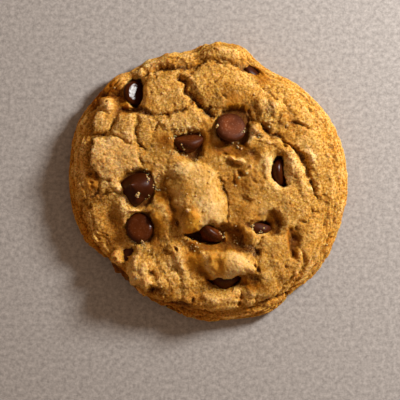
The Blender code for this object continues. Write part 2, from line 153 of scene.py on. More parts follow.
SLABS = (  # plates of crust that stand above the rest: (rise, width of the edge, *corners)
    # plates of the north and north-west crust
    (0.5, 1.1, (-19, 32), (-13, 33.7), (-9.3, 33), (-8.8, 30.6), (-7.4, 28.4), (-7.6, 26.2), (-6.2, 25.2),
     (-5.4, 24), (-7, 22.3), (-11, 20.6), (-17, 20.2), (-20.2, 21), (-19.4, 27)),
    (0.7, 1, (-7, 21.6), (-4.6, 23), (-3.2, 21.4), (-2, 20.7), (-0.8, 18.8), (-0.9, 17.4), (-3, 16.4),
     (-6, 15.6), (-9, 15.4), (-13, 15.4), (-14.8, 17.4), (-11, 19.8)),
    (0.8, 1, (-6, 30), (-3, 34.5), (1, 36.2), (5.5, 35.7), (10.5, 32.5), (14, 29.5), (17, 26.5), (16, 24),
     (13, 23.6), (9, 23), (3.6, 21.8), (-0.4, 22.4), (-3.2, 24.8), (-6.2, 28.2)),
    (0.6, 1, (-21, 19.3), (-17.8, 19.8), (-15.4, 17.6), (-16.5, 15.4), (-17.5, 13), (-19.7, 10.8),
     (-21.4, 15)),
    (0.6, 1, (-27, 20), (-24.5, 20.2), (-22.2, 19.6), (-22, 15.2), (-21.6, 12.8), (-23.4, 11.6),
     (-25.8, 12.8), (-28.5, 14.2), (-28, 17.6)),
    # the west plate
    (0.5, 0.7, (-34.2, 13), (-31.5, 13.4), (-28, 13), (-24.6, 10.6), (-20.6, 9.6), (-20.2, 4), (-22, 3),
     (-25, 2.2), (-25.9, 0), (-25, -2.5), (-28, -2.6), (-30, 0), (-32.6, 1.8), (-35.2, 5), (-34.5, 10)),
    # the south-east plate
    (0.6, 1.7, (16.5, -17), (20, -16.4), (23.6, -16.5), (24.2, -22.5), (27.2, -25.2), (26, -28.2),
     (24, -32.8), (18, -35.2), (12, -34.4), (11.6, -29.4), (12, -26), (14.2, -22), (16.4, -19.4)),
)

# lumps that end in a torn edge where the outline cuts them: (lump, edge, how new the skin is, *corners)
FLAPS = (
    # the centre flap
    ((-3.2, -4.6, 12, 8.8, 103, 2.6, 0.3), 2.2, 1, (-15, 3.4), (-10.4, 4.2), (-8.4, 7), (-4, 6), (0, 5),
     (3.2, 3), (3.4, 0.2), (4.4, -2), (5.2, -5), (6.5, -7.2), (5.9, -10), (5.4, -12.8), (3, -13.1),
     (1.2, -12.7), (-1.4, -14.6), (-5.6, -16.2), (-8, -15.4), (-9.4, -12), (-15, -8)),
    # the south lump
    ((6.8, -24.8, 11, 5.2, 168, 2.8, 0.2), 2.8, 1, (-7.6, -20.8), (-7.8, -22.6), (-5.2, -26), (-0.6, -29.4),
     (3.6, -29.9), (7.2, -29.2), (9.4, -28), (13.4, -27.9), (14.2, -26.4), (14.4, -24), (12.6, -21.6),
     (8, -20.6), (0, -20.6)),
    # the outer plates, which stay level up to the edge where they break off above the rim
    ((-35.4, 8, 9, 7, 92, 2.3, 0.1), 0.9, 0, (-34.2, 13), (-31.5, 13.4), (-28, 13), (-24.6, 10.6), (-22, 6),
     (-25.9, 0), (-28, -2.6), (-30, 0), (-32.6, 1.8), (-35, 4.6), (-34.4, 9)),
    ((-34.2, 17, 5, 5, 95, 1.9, 0.1), 0.9, 0, (-34.6, 14), (-34.4, 17), (-33.7, 20.2), (-31, 20.6),
     (-28.2, 19.8), (-28.4, 17.6), (-30, 15.2), (-32, 13.8)),
    ((-17, -32.6, 14, 6, 149, 2.5, 0.2), 1.1, 0, (-25, -24.5), (-23.4, -28.6), (-19.8, -32.8), (-15, -34.8),
     (-8, -35.9), (-3, -37.2), (4, -37.6), (9.2, -36.6), (9.4, -33), (4, -32.4), (-2, -30.6), (-6, -27),
     (-14, -21.5), (-22, -21.5)),
)

CRACKS = (  # (width, depth, *points along it)
    # the ledge under the rolled north rim
    (1.8, 1.2, (-19.5, 33.2), (-16, 33.6), (-12, 34.1), (-7, 34), (-3.8, 34.6), (-1.5, 35.6), (1.5, 35.6),
     (5.6, 35.2), (8.5, 34.8), (10.6, 33.2)),
    (2.6, 2.6, (-8.8, 30.8), (-6.9, 29.4), (-6.6, 26.2), (-4.8, 24.8), (-2.8, 22.6), (-0.8, 20.9),
     (0.9, 19.5)),
    (1.1, 0.9, (2.3, 29.6), (3.5, 30.8)), (1, 0.8, (4, 25.8), (5.5, 24.4)),
    # between the north-west plates
    (1.3, 1.1, (-22, 20.6), (-20, 20), (-18, 20.3), (-15, 19.8), (-11, 20.4), (-8.4, 21.3), (-7.4, 22)),
    (1.2, 1.1, (-21.5, 19.5), (-21, 17.8), (-22.1, 15), (-21.4, 12.4), (-19.3, 10)),
    (1.3, 1.2, (-27.2, 19.5), (-28.3, 17), (-30.5, 14.6), (-32.5, 12.8)),
    (1, 0.9, (-28, 13.5), (-25.6, 12), (-23.2, 11)), (0.9, 0.7, (-15.3, 18.3), (-15.1, 16.8), (-17, 14.6)),
    (0.8, 0.6, (-31, 7.5), (-30.4, 6), (-31.5, 4.2), (-32, 3.6)), (1.2, 0.8, (-20.4, 8.2), (-20.1, 4.6)),
    # north-east
    (1.2, 0.6, (14.5, 29.5), (17, 29.8), (20.5, 29.3)), (1.2, 0.7, (16.5, 27.5), (18.5, 26), (20, 24)),
    (1.6, 1.1, (5, 21.2), (8, 21.9), (10.8, 21.7), (12.4, 20.4)),
    (0.9, 1.2, (28.8, 23.4), (29.7, 22.6), (30.5, 21.6)),
    (1.1, 0.9, (22.3, 26), (23.5, 22.8), (25, 20.3), (24.2, 18.6), (22.8, 15.8)),
    (1.6, 1.5, (23.8, 17.2), (26, 17.6), (29, 16.9), (30, 15.8)),
    (2.4, 2.4, (16.2, 16.8), (17.4, 15), (18.8, 14), (21.6, 13.6), (22.8, 11.8), (25.5, 10.2), (28.2, 7.6)),
    (1.4, 0.9, (12.6, 18.6), (14.4, 17.6), (16.2, 16.8)),
    (3, 2.2, (27.6, 8), (28.6, 5.2), (29.8, 2.6), (30.6, 0), (31.8, -3.2), (32.6, -5.2)),
    (0.8, 0.8, (33, 13.5), (34, 11.5)), (0.8, 0.6, (36, 11), (37.2, 9.4), (37.5, 7.5)),
    # east
    (1.2, 1.1, (31.5, -6.5), (31, -8), (31.2, -10), (29.5, -12.7), (27, -12), (26, -14.5)),
    (0.9, 0.8, (31.2, -9.3), (32.8, -9.2)), (0.8, 0.6, (34.5, -6), (35.7, -7.5), (35.8, -8.5)),
    (1, 0.7, (35.5, -10), (34.7, -12), (35.3, -14), (34.3, -18.2)),
    (1.3, 0.6, (39, -2.5), (39.3, -5), (38.5, -10)),
    (2.4, 1.1, (24.8, -14.8), (24.8, -18.8), (25.4, -22.8)),
    (1.3, 1.1, (28.3, -22.4), (28.3, -25), (27.4, -27.4), (25.8, -29.8), (24.2, -32.6)),
    (1.3, 1.2, (22.6, -34), (18.4, -35.8), (13.8, -37.8), (8, -39.4), (2, -40.1)),
    (1, 0.8, (24.3, -1), (25.5, -1.3)), (1.4, 1.8, (23.2, -33.2), (24.4, -35.6)),
    # centre
    (0.9, 0.9, (3, 1.4), (4.2, 0), (4.4, -2), (5.4, -4.6), (6.2, -7), (5.8, -10), (5.8, -13)),
    (2.2, 0.9, (-13, 3.4), (-13.2, -1), (-12, -5), (-10.4, -9), (-9.3, -13.4)),
    (1.6, 1.4, (15.8, -16.8), (15.2, -18.2), (14.2, -20.2)),
    (1.1, 1, (13.4, -24.8), (14.2, -26.6), (14, -28)),
    # west
    (1.4, 1.2, (-30.4, -3.4), (-28, -3.2), (-26.5, -3.7), (-24.2, -3)),
    (1.3, 1, (-33, 2), (-32.7, -0.5), (-33.4, -3.4), (-35, -5)),
    (1.4, 1.2, (-34, -3.8), (-32, -4), (-30.2, -3.6)), (0.9, 1, (-38.7, -8.2), (-38, -10)),
    (1.6, 1.2, (-34.4, -11.6), (-34, -15), (-32.2, -17.6)),
    (1.4, 0.9, (-37.5, -13), (-36.5, -16), (-33, -20), (-30.6, -22.6)),
    (1.4, 0.7, (-26.5, 26.8), (-29.5, 26.6), (-32.4, 25.2), (-34.2, 22), (-35.2, 16), (-35.4, 11),
     (-36.4, 5)),
    (1.2, 0.6, (-38, 16), (-38.2, 8), (-38.8, 2)), (1, 1, (-33.8, 20.4), (-31, 20.4), (-28, 20)),
    # south-west
    (2.2, 2.4, (-30.6, -23.4), (-28.4, -26.3), (-26.2, -28.8), (-23, -32)),
    (0.9, 1, (-18.5, -22), (-17, -22)), (2.2, 2, (-16.6, -27.2), (-15.8, -29), (-16.4, -31.6)),
    (1, 0.9, (-14, -27), (-11.6, -26.9), (-9, -26.6)),
    (1.3, 1.1, (-20.4, -30.4), (-18.6, -31.2), (-16.8, -33.8)),
    (1.2, 0.8, (-17, -36.6), (-12, -38), (-6, -38.8), (-1, -39), (5, -39), (9, -38.4)),
    (1, 0.8, (-12, -39.4), (-6, -40.4), (0, -40.6)), (1.2, 1.2, (9.4, -37), (9.9, -34.8), (9.6, -32.8)),
    (0.9, 0.8, (13.6, -38.2), (14.4, -36.2), (14.2, -34.2)),
)

RIDGES = (  # rounded rolls: (width, rise, *points along it)
    (2, 1.3, (-21, 33.6), (-17, 35.6), (-12, 36.2), (-7, 36.6), (-4, 37.9), (-1, 38.8), (3, 38.9),
     (7, 37.8)),
    (3, 0.9, (-36.4, 20), (-38.2, 12), (-38.6, 6), (-38.6, 0), (-37.6, -5)),
    (1.3, 0.6, (-37.8, -3), (-36.4, -10), (-33.6, -16.5), (-30.5, -21.5)),
    (0.8, 0.8, (5.2, 7.3), (7.6, 6.6), (10, 5.6)),
    (1.4, 0.4, (13.6, 15.2), (16.2, 12.8), (20, 11.6), (23.2, 9.6), (26.2, 6.4), (28, 3.4)),
    (0.9, 0.6, (30.4, 8.2), (31.6, 5.4), (33, 2.2)),
    (1.5, 0.6, (-13.4, -13.6), (-13.4, -17), (-12.2, -19.4), (-9.6, -21.6), (-7.6, -23.4)),
    (1, 0.8, (26.9, -21.2), (27.5, -24.2), (26.9, -27), (25.2, -30), (23.2, -33)),
    (1, 0.6, (29.4, -20.5), (30.2, -25), (28.6, -29.4), (25.6, -33.2)),
    (1.1, 0.7, (21.5, -35.8), (17.5, -38), (12.5, -39.4), (6, -40.4), (0, -40.6), (-6, -40)),
    (0.9, 0.7, (-19, -35), (-14, -36.4), (-8, -37.2), (-2, -37.4)),
    (1.1, 0.6, (38.2, 12), (39.6, 5), (39.8, -2), (39.4, -9), (38.4, -16), (36, -22)),
    (0.9, 0.5, (35.8, 8), (37, 2), (37.2, -5), (36.4, -12), (34.4, -19)),
)

# holes in the crust: (height of the floor, edge, how dark the inside is painted as painted shade, how ragged
# the edge, *corners)
OPENINGS = (
    (8.6, 0.9, 1, 0.5, (2.4, 16.4), (2.9, 18.8), (4.2, 20.8), (6.4, 21.6), (9.6, 21.7), (11.8, 20.6),
     (12.3, 17.4), (12, 13.8), (10.8, 10.9), (7, 10.2), (4.6, 11.5), (2.9, 13.6)),
    (9, 0.8, 1, 0.4, (-10.3, 13.5), (-6.7, 13.8), (-6, 14.3), (-4.6, 14.6), (-2.8, 14.3), (-1.8, 13.2),
     (-1.7, 12), (-2, 10), (-2.4, 8), (-3.6, 6.7), (-5, 6.5), (-6.2, 7.2), (-7, 8.1), (-8.6, 8.7),
     (-9.5, 10.8), (-10.2, 12.2)),
    (3.6, 0.7, 1, 0.2, (-25, 27.4), (-24.4, 29.6), (-22.8, 30.7), (-20.3, 30.6), (-19.5, 28.6),
     (-19.6, 25.6), (-20.4, 23.4), (-21.8, 22.3), (-23.2, 22.8), (-24.4, 24.4), (-25, 26)),
    (9, 0.9, 1, 0.5, (-26.4, -0.4), (-25.2, 1.5), (-22.6, 2.8), (-19.8, 3.2), (-17.4, 2.6), (-16.4, 0),
     (-16.2, -4), (-17.2, -6.6), (-19, -7.7), (-21.6, -7.7), (-23.5, -5.8), (-24.7, -3)),
    (8.8, 0.7, 1, 0.4, (-25, -14), (-24.2, -11.6), (-22.4, -9.8), (-20, -9.2), (-17.6, -9.8), (-16.4, -13),
     (-16.4, -16.2), (-17.8, -18.2), (-20.4, -18.3), (-22, -17.4), (-24, -16.4)),
    (5, 0.7, 1, 0.3, (19.1, 4.6), (18.9, 3), (19.1, 1.2), (20, 0), (21.2, -1), (22.4, -1.7), (23.4, -1.2),
     (23.2, 0.4), (22.7, 1.6), (22.5, 3.4), (22.5, 5), (22.2, 6.4), (21.6, 7.4), (20.4, 7.2), (19.7, 6)),
    (4.8, 0.9, 1, 0.6, (-7, -15.9), (-4.5, -15.4), (-2.5, -14.8), (-0.6, -13.8), (0.5, -13.1), (2, -14.2),
     (3.3, -15.6), (3.7, -17.4), (2.4, -18.8), (0, -18.6), (-3.2, -17.7), (-5.6, -16.6)),
    (9, 2, 0.35, 1, (3.8, -14), (4.6, -13.6), (6, -13.6), (8.4, -14), (9.7, -15), (10, -17), (9.8, -19),
     (8.6, -19.8), (7, -19.6), (3, -19.4), (3.6, -16)),
    (5.4, 0.9, 1, 0.6, (13.6, -14), (14.2, -12.9), (15.6, -12.4), (17.6, -12.1), (18.5, -12.8),
     (18.3, -14.2), (17, -15.2), (15, -15.5), (13.9, -15.1)),
    (9.6, 2.2, 0.35, 1, (17.6, -10.6), (18.6, -9.2), (19.8, -9.2), (20.8, -11), (21.2, -13.5),
     (20.4, -15.4), (18.4, -15.6), (17.6, -13)),
    (10.2, 1.2, 0.8, 1, (11.6, -13.2), (12.4, -12.6), (13.8, -12.8), (13.6, -13.8), (12, -14)),
    (5.2, 0.8, 1, 0.2, (-0.2, -29.5), (1.5, -30), (4.5, -30.2), (7, -29.4), (8.6, -28.5), (9.6, -28.7),
     (9.5, -30), (8.8, -31), (7.4, -31.7), (5, -32), (3, -31.6), (1.2, -30.6)),
    (9.6, 2.4, 0.2, 1, (9.8, -28.4), (12.4, -28.6), (14.6, -29.2), (13.4, -30.2), (10.4, -30.4)),
    (4.6, 0.7, 1, 0.5, (10.9, 33.6), (12.2, 34.5), (13.8, 34), (15.2, 32.5), (14.8, 31.9), (13.2, 32.5),
     (11.7, 33.1)),
    (4.6, 0.6, 1, 0.5, (-25, -20.4), (-22.5, -20.4), (-23, -21.4), (-24, -21.7), (-24.7, -21.1)),
)

PATCH_FLATNESS = 0.3
CLUMPY = (  # where the crumb breaks up into rounded clumps
    (-20.5, -25.5, 8, 5.5, 120, 1, 0.6), (-11, -28.5, 7.5, 5, 150, 1, 0.6),
    (-2, -33.5, 7, 4, 165, 0.45, 0.5), (6, -35, 7, 3, 5, 0.3, 0.5), (-30.6, 17.6, 6.5, 4, 100, 0.8, 0.6),
    (-28, -22, 4, 3, 130, 0.9, 0.4), (-13, -22, 4, 4, 0, 0.7), (20.5, 20, 6, 4.5, 110, 0.9, 0.4),
    (31, 0.5, 6, 2.6, 110, 0.8, 0.4), (12.8, -16.6, 4.5, 2.6, 120, 0.8, 0.4), (-11, 8, 4, 4, 0, 0.6),
    (33, -8, 5, 3, 90, 0.6), (13, 1, 6, 3.5, 80, 0.6), (11, -7.5, 5, 4, 0, 0.6, 0.4),
    (19.5, -25, 5.5, 8.5, 10, 0.3, 0.5), (-28, 7, 6.5, 6.5, 0, 0.35, 0.5), (-14, 25, 6, 6, 0, 0.3, 0.5),
)

# smooth, buttery places, darker and more olive-brown; many of them are painted shade in hollows, creases and
# the shadows of the chips, and past 1 the place is painted darker still
MOIST_AND_PAINTED_SHADE = (
    (-27.4, -13.5, 6.5, 3, 100, 0.7), (-34.5, -0.5, 3.4, 2.6, 90, 0.7), (10.5, 0.5, 8.5, 4, 85, 0.5, 0.2),
    (11, -7, 3.4, 3, 0, 0.45, 0.2), (-12.6, 10.8, 4.2, 2.6, 150, 0.7), (-12, 12, 2.6, 1.4, 150, 1.35, 0.4),
    (-9.2, 7.4, 3, 1.4, 140, 0.4), (-15, -13.6, 5, 2.4, 100, 1.1, 0.4), (-10.2, -5.6, 9, 2.8, 98, 0.65),
    (-26.5, 6.5, 7.5, 6.5, 60, 0.34, 0.5), (-11.6, -8.4, 5.6, 1.2, 100, 1.25, 0.4),
    (-14.4, -4.6, 3.2, 1.7, 100, 1.1), (-15.4, -11.2, 2.6, 1.8, 80, 1.15, 0.4),
    (-4.8, -12.2, 4.4, 3.2, 80, 1.02, 0.6), (7, -4, 8.5, 2.2, 92, 0.45), (7.6, 5.2, 3, 1.6, 170, 0.5),
    (-18.8, 26, 5, 1.6, 90, 0.7), (-25.6, 24, 5, 2.6, 66, 1, 0.4), (-24, 21.2, 5, 1.2, 8, 0.8, 0.4),
    (-31.6, 26.6, 7.5, 2.2, 42, 0.95, 0.5), (-28.2, 27, 2.6, 1.6, 10, 1.2, 0.4),
    (8, -16, 5.6, 2.8, 170, 0.7, 0.4), (9.5, -12.6, 4.6, 1.8, 172, 0.6),
    (-2.2, -19.2, 3.8, 1.4, 172, 1.6, 0.5), (-4, -23.2, 4, 2.6, 150, 1, 0.5),
    (3.5, -19.6, 8.6, 1.2, 176, 1.8, 0.6), (-15.6, -18, 3.5, 1.8, 110, 0.7),
    (19.8, -12.4, 3.6, 2.2, 90, 1.3, 0.5), (25.3, -18.4, 4.8, 1.7, 94, 1.7, 0.5),
    (24.2, 18.2, 2.6, 1.2, 150, 0.5), (-27.2, -26.6, 5, 1.2, 132, 1.7, 0.5), (-8, -37.6, 9, 1.5, 172, 0.5),
    (14.5, -9.5, 3.5, 3.5, 0, 0.4), (10.6, -10.8, 3, 2, 0, 0.5), (13, 20.8, 3.8, 3.2, 70, 0.45),
    (9, 22, 5, 1.4, 172, 1.2, 0.4), (7.6, 24.8, 4, 2, 165, 0.8), (15.2, 32, 4.5, 1.8, 140, 1.15, 0.4),
    (24, 12.4, 3, 2, 120, 0.7), (17.6, 14.6, 4, 1.6, 145, 0.7), (14, 7.6, 2.8, 2, 100, 0.7),
    (6, 9.6, 7.5, 2.2, 176, 1.4, 0.5), (9.4, 10.8, 2.6, 1.2, 0, 1.4, 0.5),
    (-0.6, 12.4, 2.2, 4.4, 0, 0.9, 0.5), (-2.4, -26.8, 5.5, 2, 140, 1.35, 0.4),
    (-5.4, -24.8, 2.6, 1.4, 130, 0.9, 0.4), (2.6, -24.6, 4.4, 3.4, 105, 0.95, 0.5),
    (13, -30.6, 4.5, 2, 160, 1.1), (-17.4, 4, 2.4, 1.8, 150, 0.6),
)

PAINTED_LIGHT_FLATNESS = 0.4
TONE_AND_PAINTED_LIGHT = (  # where the crust is painted paler, or with a negative rise darker, than the rest: a little of it baked colour, most of it painted light on flanks turned from the lamp and painted shade in hollows, creases and the shadows of the chips
    (-27.5, 6.5, 7, 7, 0, 0.4, 0.6), (-38, 8, 15, 2.8, 88, 0.34), (-26, 16, 6, 4, 20, 0.14),
    (-15.6, 3.4, 4, 2.6, 10, 0.38), (-35.5, -14, 7, 2.4, 108, 0.25), (-23.5, -25, 3, 3, 0, 0.15),
    (-19, -25, 4, 3, 0, 0.04), (0.6, 20, 2.6, 2, 0, -0.3), (-25.4, -5.4, 1.8, 1.8, 0, 0.32),
    (-15.6, 33.6, 3, 1.4, 0, 0.2), (-7, -16, 1.6, 1.2, 0, 0.25), (-10.4, -25, 3.4, 3, 0, 0.4),
    (-30, -20.4, 2.6, 2, 130, 0.25), (-30.5, 0, 3, 2.4, 0, 0.2), (0.2, 14.6, 1.8, 3.4, 0, -0.3),
    (10.4, 9.4, 3, 1.8, 0, -0.35), (15.8, 15.6, 1.4, 1.8, 0, -0.25, 0.3), (2.4, -26.6, 5, 2.2, 165, 0.32),
    (8, -17, 2, 2, 0, 0.2), (10.2, -19.8, 3.4, 1.5, 0, -0.5), (-0.6, -19.8, 2.4, 1, 0, -0.2),
    (-15.4, 0.2, 2.2, 2.4, 0, 0.4), (-17.4, 3.4, 1.6, 1.4, 0, -0.2), (-6.6, -3.6, 1.8, 4, 0, -0.24),
    (-10, 4.2, 2, 1.6, 0, 0.18), (-12.4, -0.2, 1.4, 2, 0, -0.25), (-26.4, -2.6, 1.8, 1.6, 0, 0.25),
    (21.4, 20, 2.6, 2.8, 0, -0.28), (-29.6, 26.4, 4, 1.6, 30, -0.5), (1.6, 21, 3, 2, 20, -0.3),
    (-19.6, 20.6, 3.4, 1.4, 0, -0.3), (20.6, -14.2, 2.4, 2.6, 0, -0.3), (-1, -3, 9, 5, 105, 0.14, 0.5),
    (9, -1, 6, 3, 90, 0.15), (9.4, -25.4, 5, 2.4, 10, 0.15), (-1, -25, 5, 2.4, 150, 0.15),
    (3.4, -21.8, 3, 1.6, 0, -0.3), (-4.6, -22.8, 2.4, 1.8, 0, -0.2), (30.2, -25.5, 6, 1.8, 65, 0.25),
    (14.6, -31.2, 4, 2, 165, -0.3), (13, -35.4, 4.5, 2.4, 0, 0.2), (8, -40.6, 8, 1.8, 5, 0.3),
    (4, 39.6, 5, 1.4, 0, -0.25), (3, 30.5, 8, 5, 170, 0.07, 0.5), (16.4, 22.6, 2.4, 2.4, 0, 0.25),
    (31, 22, 9, 5, 130, 0.09, 0.5), (24.8, 3.6, 3.4, 1.4, 100, 0.15), (7, 25.6, 8, 3.6, 165, -0.36),
    (-11.6, 10.8, 4, 2.6, 150, -0.25), (5, 8.8, 8, 2.4, 176, -0.18), (18.6, 14.4, 3.4, 1.8, 150, -0.3),
    (24.2, 17.6, 3, 2.6, 0, -0.25), (12.6, 7, 2.6, 2.4, 0, -0.3), (20.6, 8.4, 3, 2.2, 120, -0.25),
    (14.6, -2, 2.4, 3.6, 0, -0.28), (-22.4, 21.4, 5, 1.7, 0, -0.42), (-19, 30, 2, 4, 0, -0.2),
    (-35, -4.6, 3.4, 2.6, 0, -0.35), (-25.8, 1.4, 2, 1.4, 0, -0.25), (13.6, -23.6, 2.4, 5.6, 10, -0.32),
    (-2.6, -18.4, 4, 1.6, 170, -0.4), (8.6, -12.6, 5.4, 1.8, 172, -0.28), (-2.4, -27.4, 4, 1.6, 140, -0.2),
    (-14.6, -31.6, 4.4, 2, 160, -0.6), (4, -33.4, 4, 1.4, 0, -0.2), (-5.2, -36.6, 3, 1.4, 0, -0.25),
    (-15, -15.6, 2.6, 3.6, 0, -0.25), (-5.2, -13, 3.4, 2.8, 60, 0.35, 0.5), (-7, -10, 1.6, 2.4, 0, -0.2),
    (9.6, -8.8, 4, 3.2, 0, -0.2), (12.8, -14.8, 3.2, 1.6, 132, -0.35), (12.8, 14.2, 1.8, 1.5, 0, 0.42),
    (30.4, 8.4, 3, 1.6, 120, 0.35), (17, -9.8, 2.4, 2, 0, 0.3), (-14, 27, 5, 4, 0, 0.14),
    (-9.4, -4.4, 4, 2, 100, 0.4), (2, -35, 6, 2, 0, -0.08), (22, -26, 4, 5, 0, -0.1),
    (-9, 35.2, 3, 1.6, 0, -0.38), (13, 34.6, 5, 3, 140, -0.15), (-15.5, 35.6, 3, 1.4, 20, 0.25),
    (-4, 25.6, 2.6, 2, 130, -0.35), (14.6, 10, 2.4, 2.2, 0, -0.3), (-20.2, 4.8, 1.6, 2, 0, -0.3),
    (-10, -35.8, 4, 1.4, 165, -0.35), (-15.5, -19.5, 6, 2.6, 0, -0.12), (24.6, -18, 2.4, 5, 0, -0.15),
    (10.2, 19.6, 2.2, 1.8, 0, -0.25), (8.6, -28.6, 4.5, 1.4, 5, 0.22), (25.4, -25, 2.4, 2.4, 0, 0.14),
    (13.6, -16.8, 1.8, 2, 0, -0.25), (-6, -9.6, 3, 2.6, 0, -0.12), (-5.4, -21, 2.4, 1.8, 0, 0.15),
    (5, -32.6, 5, 1.2, 0, 0.15), (10.8, -30.8, 2.4, 1.6, 0, 0.2), (22.8, -14.6, 3.4, 2, 0, -0.12),
    (4.6, 4.4, 3, 2.2, 0, -0.12), (-3.6, 15.9, 2.2, 0.9, 0, 0.12),
)

# Noise on arrays of points


def random_at(cell, seed):
    """An evenly spread number from 0 to 1 for each whole-numbered cell."""
    i, j, k = (cell[..., axis].astype(np.uint32) for axis in range(3))
    bits = i * np.uint32(374761393) + j * np.uint32(668265263) + k * np.uint32(2246822519)
    bits = bits + np.uint32(seed * 3266489917 % 2**32)
    bits = (bits ^ (bits >> np.uint32(15))) * np.uint32(2246822519)
    bits = (bits ^ (bits >> np.uint32(13))) * np.uint32(3266489917)
    return (bits ^ (bits >> np.uint32(16))) / 2.0**32


def noise(points, length, seed):
    """Smooth noise from about -1 to 1, with features of that length."""
    places = points / length
    cell = np.floor(places).astype(np.int64)
    inside_cell = places - cell
    ease = inside_cell**3 * (inside_cell * (inside_cell * 6 - 15) + 10)
    total = 0
    for corner in itertools.product((0, 1), repeat=3):
        corner = np.array(corner)
        weight = np.prod(np.where(corner, ease, 1 - ease), axis=-1)
        slopes = [random_at(cell + corner, seed + 7 * axis) * 2 - 1 for axis in range(3)]
        away = inside_cell - corner
        total = total + weight * sum(slope * away[..., axis] for axis, slope in enumerate(slopes))
    return total * 1.6


def layered_noise(points, length, seed, layers=3):
    return sum(noise(points, length / 2**n, seed + 31 * n) / 2**n for n in range(layers))


def noise_vector(points, length, seeds, layers=1):
    return np.stack([layered_noise(points, length, seed, layers) for seed in seeds], axis=-1)


def varied(points, length, seed, middle, swing, low, high):
    return np.clip(middle + swing * noise(points, length, seed), low, high)


def nearest_seeds(points, length, seed):
    """(distance to the nearest of one seed to a cell, to the next nearest, a random number of the nearest)"""
    places = points / length
    cell = np.floor(places).astype(np.int64)
    first = np.full(places.shape[:-1], 9.0)
    second = first.copy()
    token = np.zeros_like(first)
    for step in itertools.product((-1, 0, 1), repeat=3):
        near = cell + np.array(step)
        away = [near[..., axis] + random_at(near, seed + 5 * axis) - places[..., axis] for axis in range(3)]
        distance = np.sqrt(away[0] ** 2 + away[1] ** 2 + away[2] ** 2)
        closer = distance < first
        second = np.where(closer, first, np.minimum(second, distance))
        token = np.where(closer, random_at(near, seed + 23), token)
        first = np.minimum(first, distance)
    return first, second, token


# Shape functions


def smooth(low, high, value):
    t = np.clip((value - low) / (high - low), 0, 1)
    return t * t * (3 - 2 * t)


def shoulder(depth, width):
    """From 0 at an edge up to 1 at that width inside it, steep at first and then rounding over."""
    t = np.clip(depth / width, 0, 1)
    return np.sqrt(t * (2 - t))


def around(bearing, places):
    """The sum of the places' shares, each fading out to nothing at its reach to either side."""
    return sum(share * smooth(math.cos(math.radians(reach)), 1, np.cos(bearing - math.radians(middle)))
               for middle, reach, share in places)


def rim_radius(bearing):
    knots = np.radians([b for b, _ in RIM])
    radii = np.array([r for _, r in RIM])
    knots = np.concatenate([[knots[-1] - 2 * np.pi], knots, [knots[0] + 2 * np.pi, knots[1] + 2 * np.pi]])
    radii = np.concatenate([radii[-1:], radii, radii[:2]])
    slopes = np.gradient(radii, knots)
    bearing = np.mod(bearing, 2 * np.pi)
    after = np.clip(np.searchsorted(knots, bearing, side="right"), 1, len(knots) - 1)
    before = after - 1
    gap = knots[after] - knots[before]
    t = (bearing - knots[before]) / gap
    start = radii[before] * (1 + 2 * t) * (1 - t) ** 2 + gap * slopes[before] * t * (1 - t) ** 2
    end = radii[after] * t * t * (3 - 2 * t) - gap * slopes[after] * t * t * (1 - t)
    return start + end


def recentring():
    """How far the CAD moved everything, to put the middle of the dough's plan on the origin."""
    bearing = np.radians(np.arange(0, 360, 0.5))
    radius = rim_radius(bearing)
    x, y = radius * np.cos(bearing), radius * np.sin(bearing)
    return np.array([-(x.min() + x.max()) / 2, -(y.min() + y.max()) / 2, 0])


def meridian(share):
    """(share of the rim's radius, height) at each share of the way along the puck's skin to its foot"""
    turn = np.linspace(0, np.pi / 2, MERIDIAN_SAMPLES)
    upper_height = EQUATOR_HEIGHT + (CROWN_HEIGHT - EQUATOR_HEIGHT) * np.cos(turn)
    lower_height = EQUATOR_HEIGHT * (1 - np.sin(turn[1:]))
    radius = np.concatenate([np.sqrt(np.sin(turn)), 1 - FOOT_INSET * (1 - np.cos(turn[1:]))])
    height = np.concatenate([upper_height, lower_height])
    mean_rim = np.mean([r for _, r in RIM])
    steps = np.hypot(np.diff(radius * mean_rim), np.diff(height))
    along = np.concatenate([[0], np.cumsum(steps)]) / steps.sum()
    return np.interp(share, along, radius), np.interp(share, along, height)


def disc_grid(cells):
    """(share of the way out, bearing) for a square grid wrapped evenly onto a disc"""
    side = np.linspace(-1, 1, cells + 1)
    a, b = np.meshgrid(side, side, indexing="ij")
    wide = np.abs(a) > np.abs(b)
    out = np.where(wide, np.abs(a), np.abs(b))
    with np.errstate(divide="ignore", invalid="ignore"):
        bearing = np.where(
            wide,
            np.pi / 4 * b / a + np.where(a < 0, np.pi, 0),
            np.pi / 2 - np.pi / 4 * a / b + np.where(b < 0, np.pi, 0),
        )
    return out, np.where(out == 0, 0, bearing)


def distance_to_line(x, y, line):
    nearest = np.full(np.shape(x), np.inf)
    for (x0, y0), (x1, y1) in zip(line, line[1:]):
        dx, dy = x1 - x0, y1 - y0
        t = np.clip(((x - x0) * dx + (y - y0) * dy) / (dx * dx + dy * dy), 0, 1)
        nearest = np.minimum(nearest, np.hypot(x - x0 - t * dx, y - y0 - t * dy))
    return nearest


def depth_inside(x, y, corners):
    """Distance to the outline, positive inside it."""
    odd = np.zeros(np.shape(x), bool)
    for (x0, y0), (x1, y1) in zip(corners, corners[1:] + corners[:1]):
        crosses = (y0 > y) != (y1 > y)
        if y0 != y1:
            odd ^= crosses & (x < x0 + (y - y0) * (x1 - x0) / (y1 - y0))
    gap = distance_to_line(x, y, corners + corners[:1])
    return np.where(odd, gap, -gap)


def lump_height(x, y, lump, flatness=0.0):
    middle_x, middle_y, length, width, bearing, rise, flatness = (*lump, flatness)[:7]
    turn = math.radians(bearing)
    along = (x - middle_x) * math.cos(turn) + (y - middle_y) * math.sin(turn)
    across = (y - middle_y) * math.cos(turn) - (x - middle_x) * math.sin(turn)
    away = np.hypot(along / length, across / width)
    return rise * (1 - smooth(flatness, LUMP_REACH, away))


def strongest(x, y, patches):
    heights = (lump_height(x, y, patch, PATCH_FLATNESS) for patch in patches)
    return functools.reduce(np.maximum, heights, np.zeros_like(x))


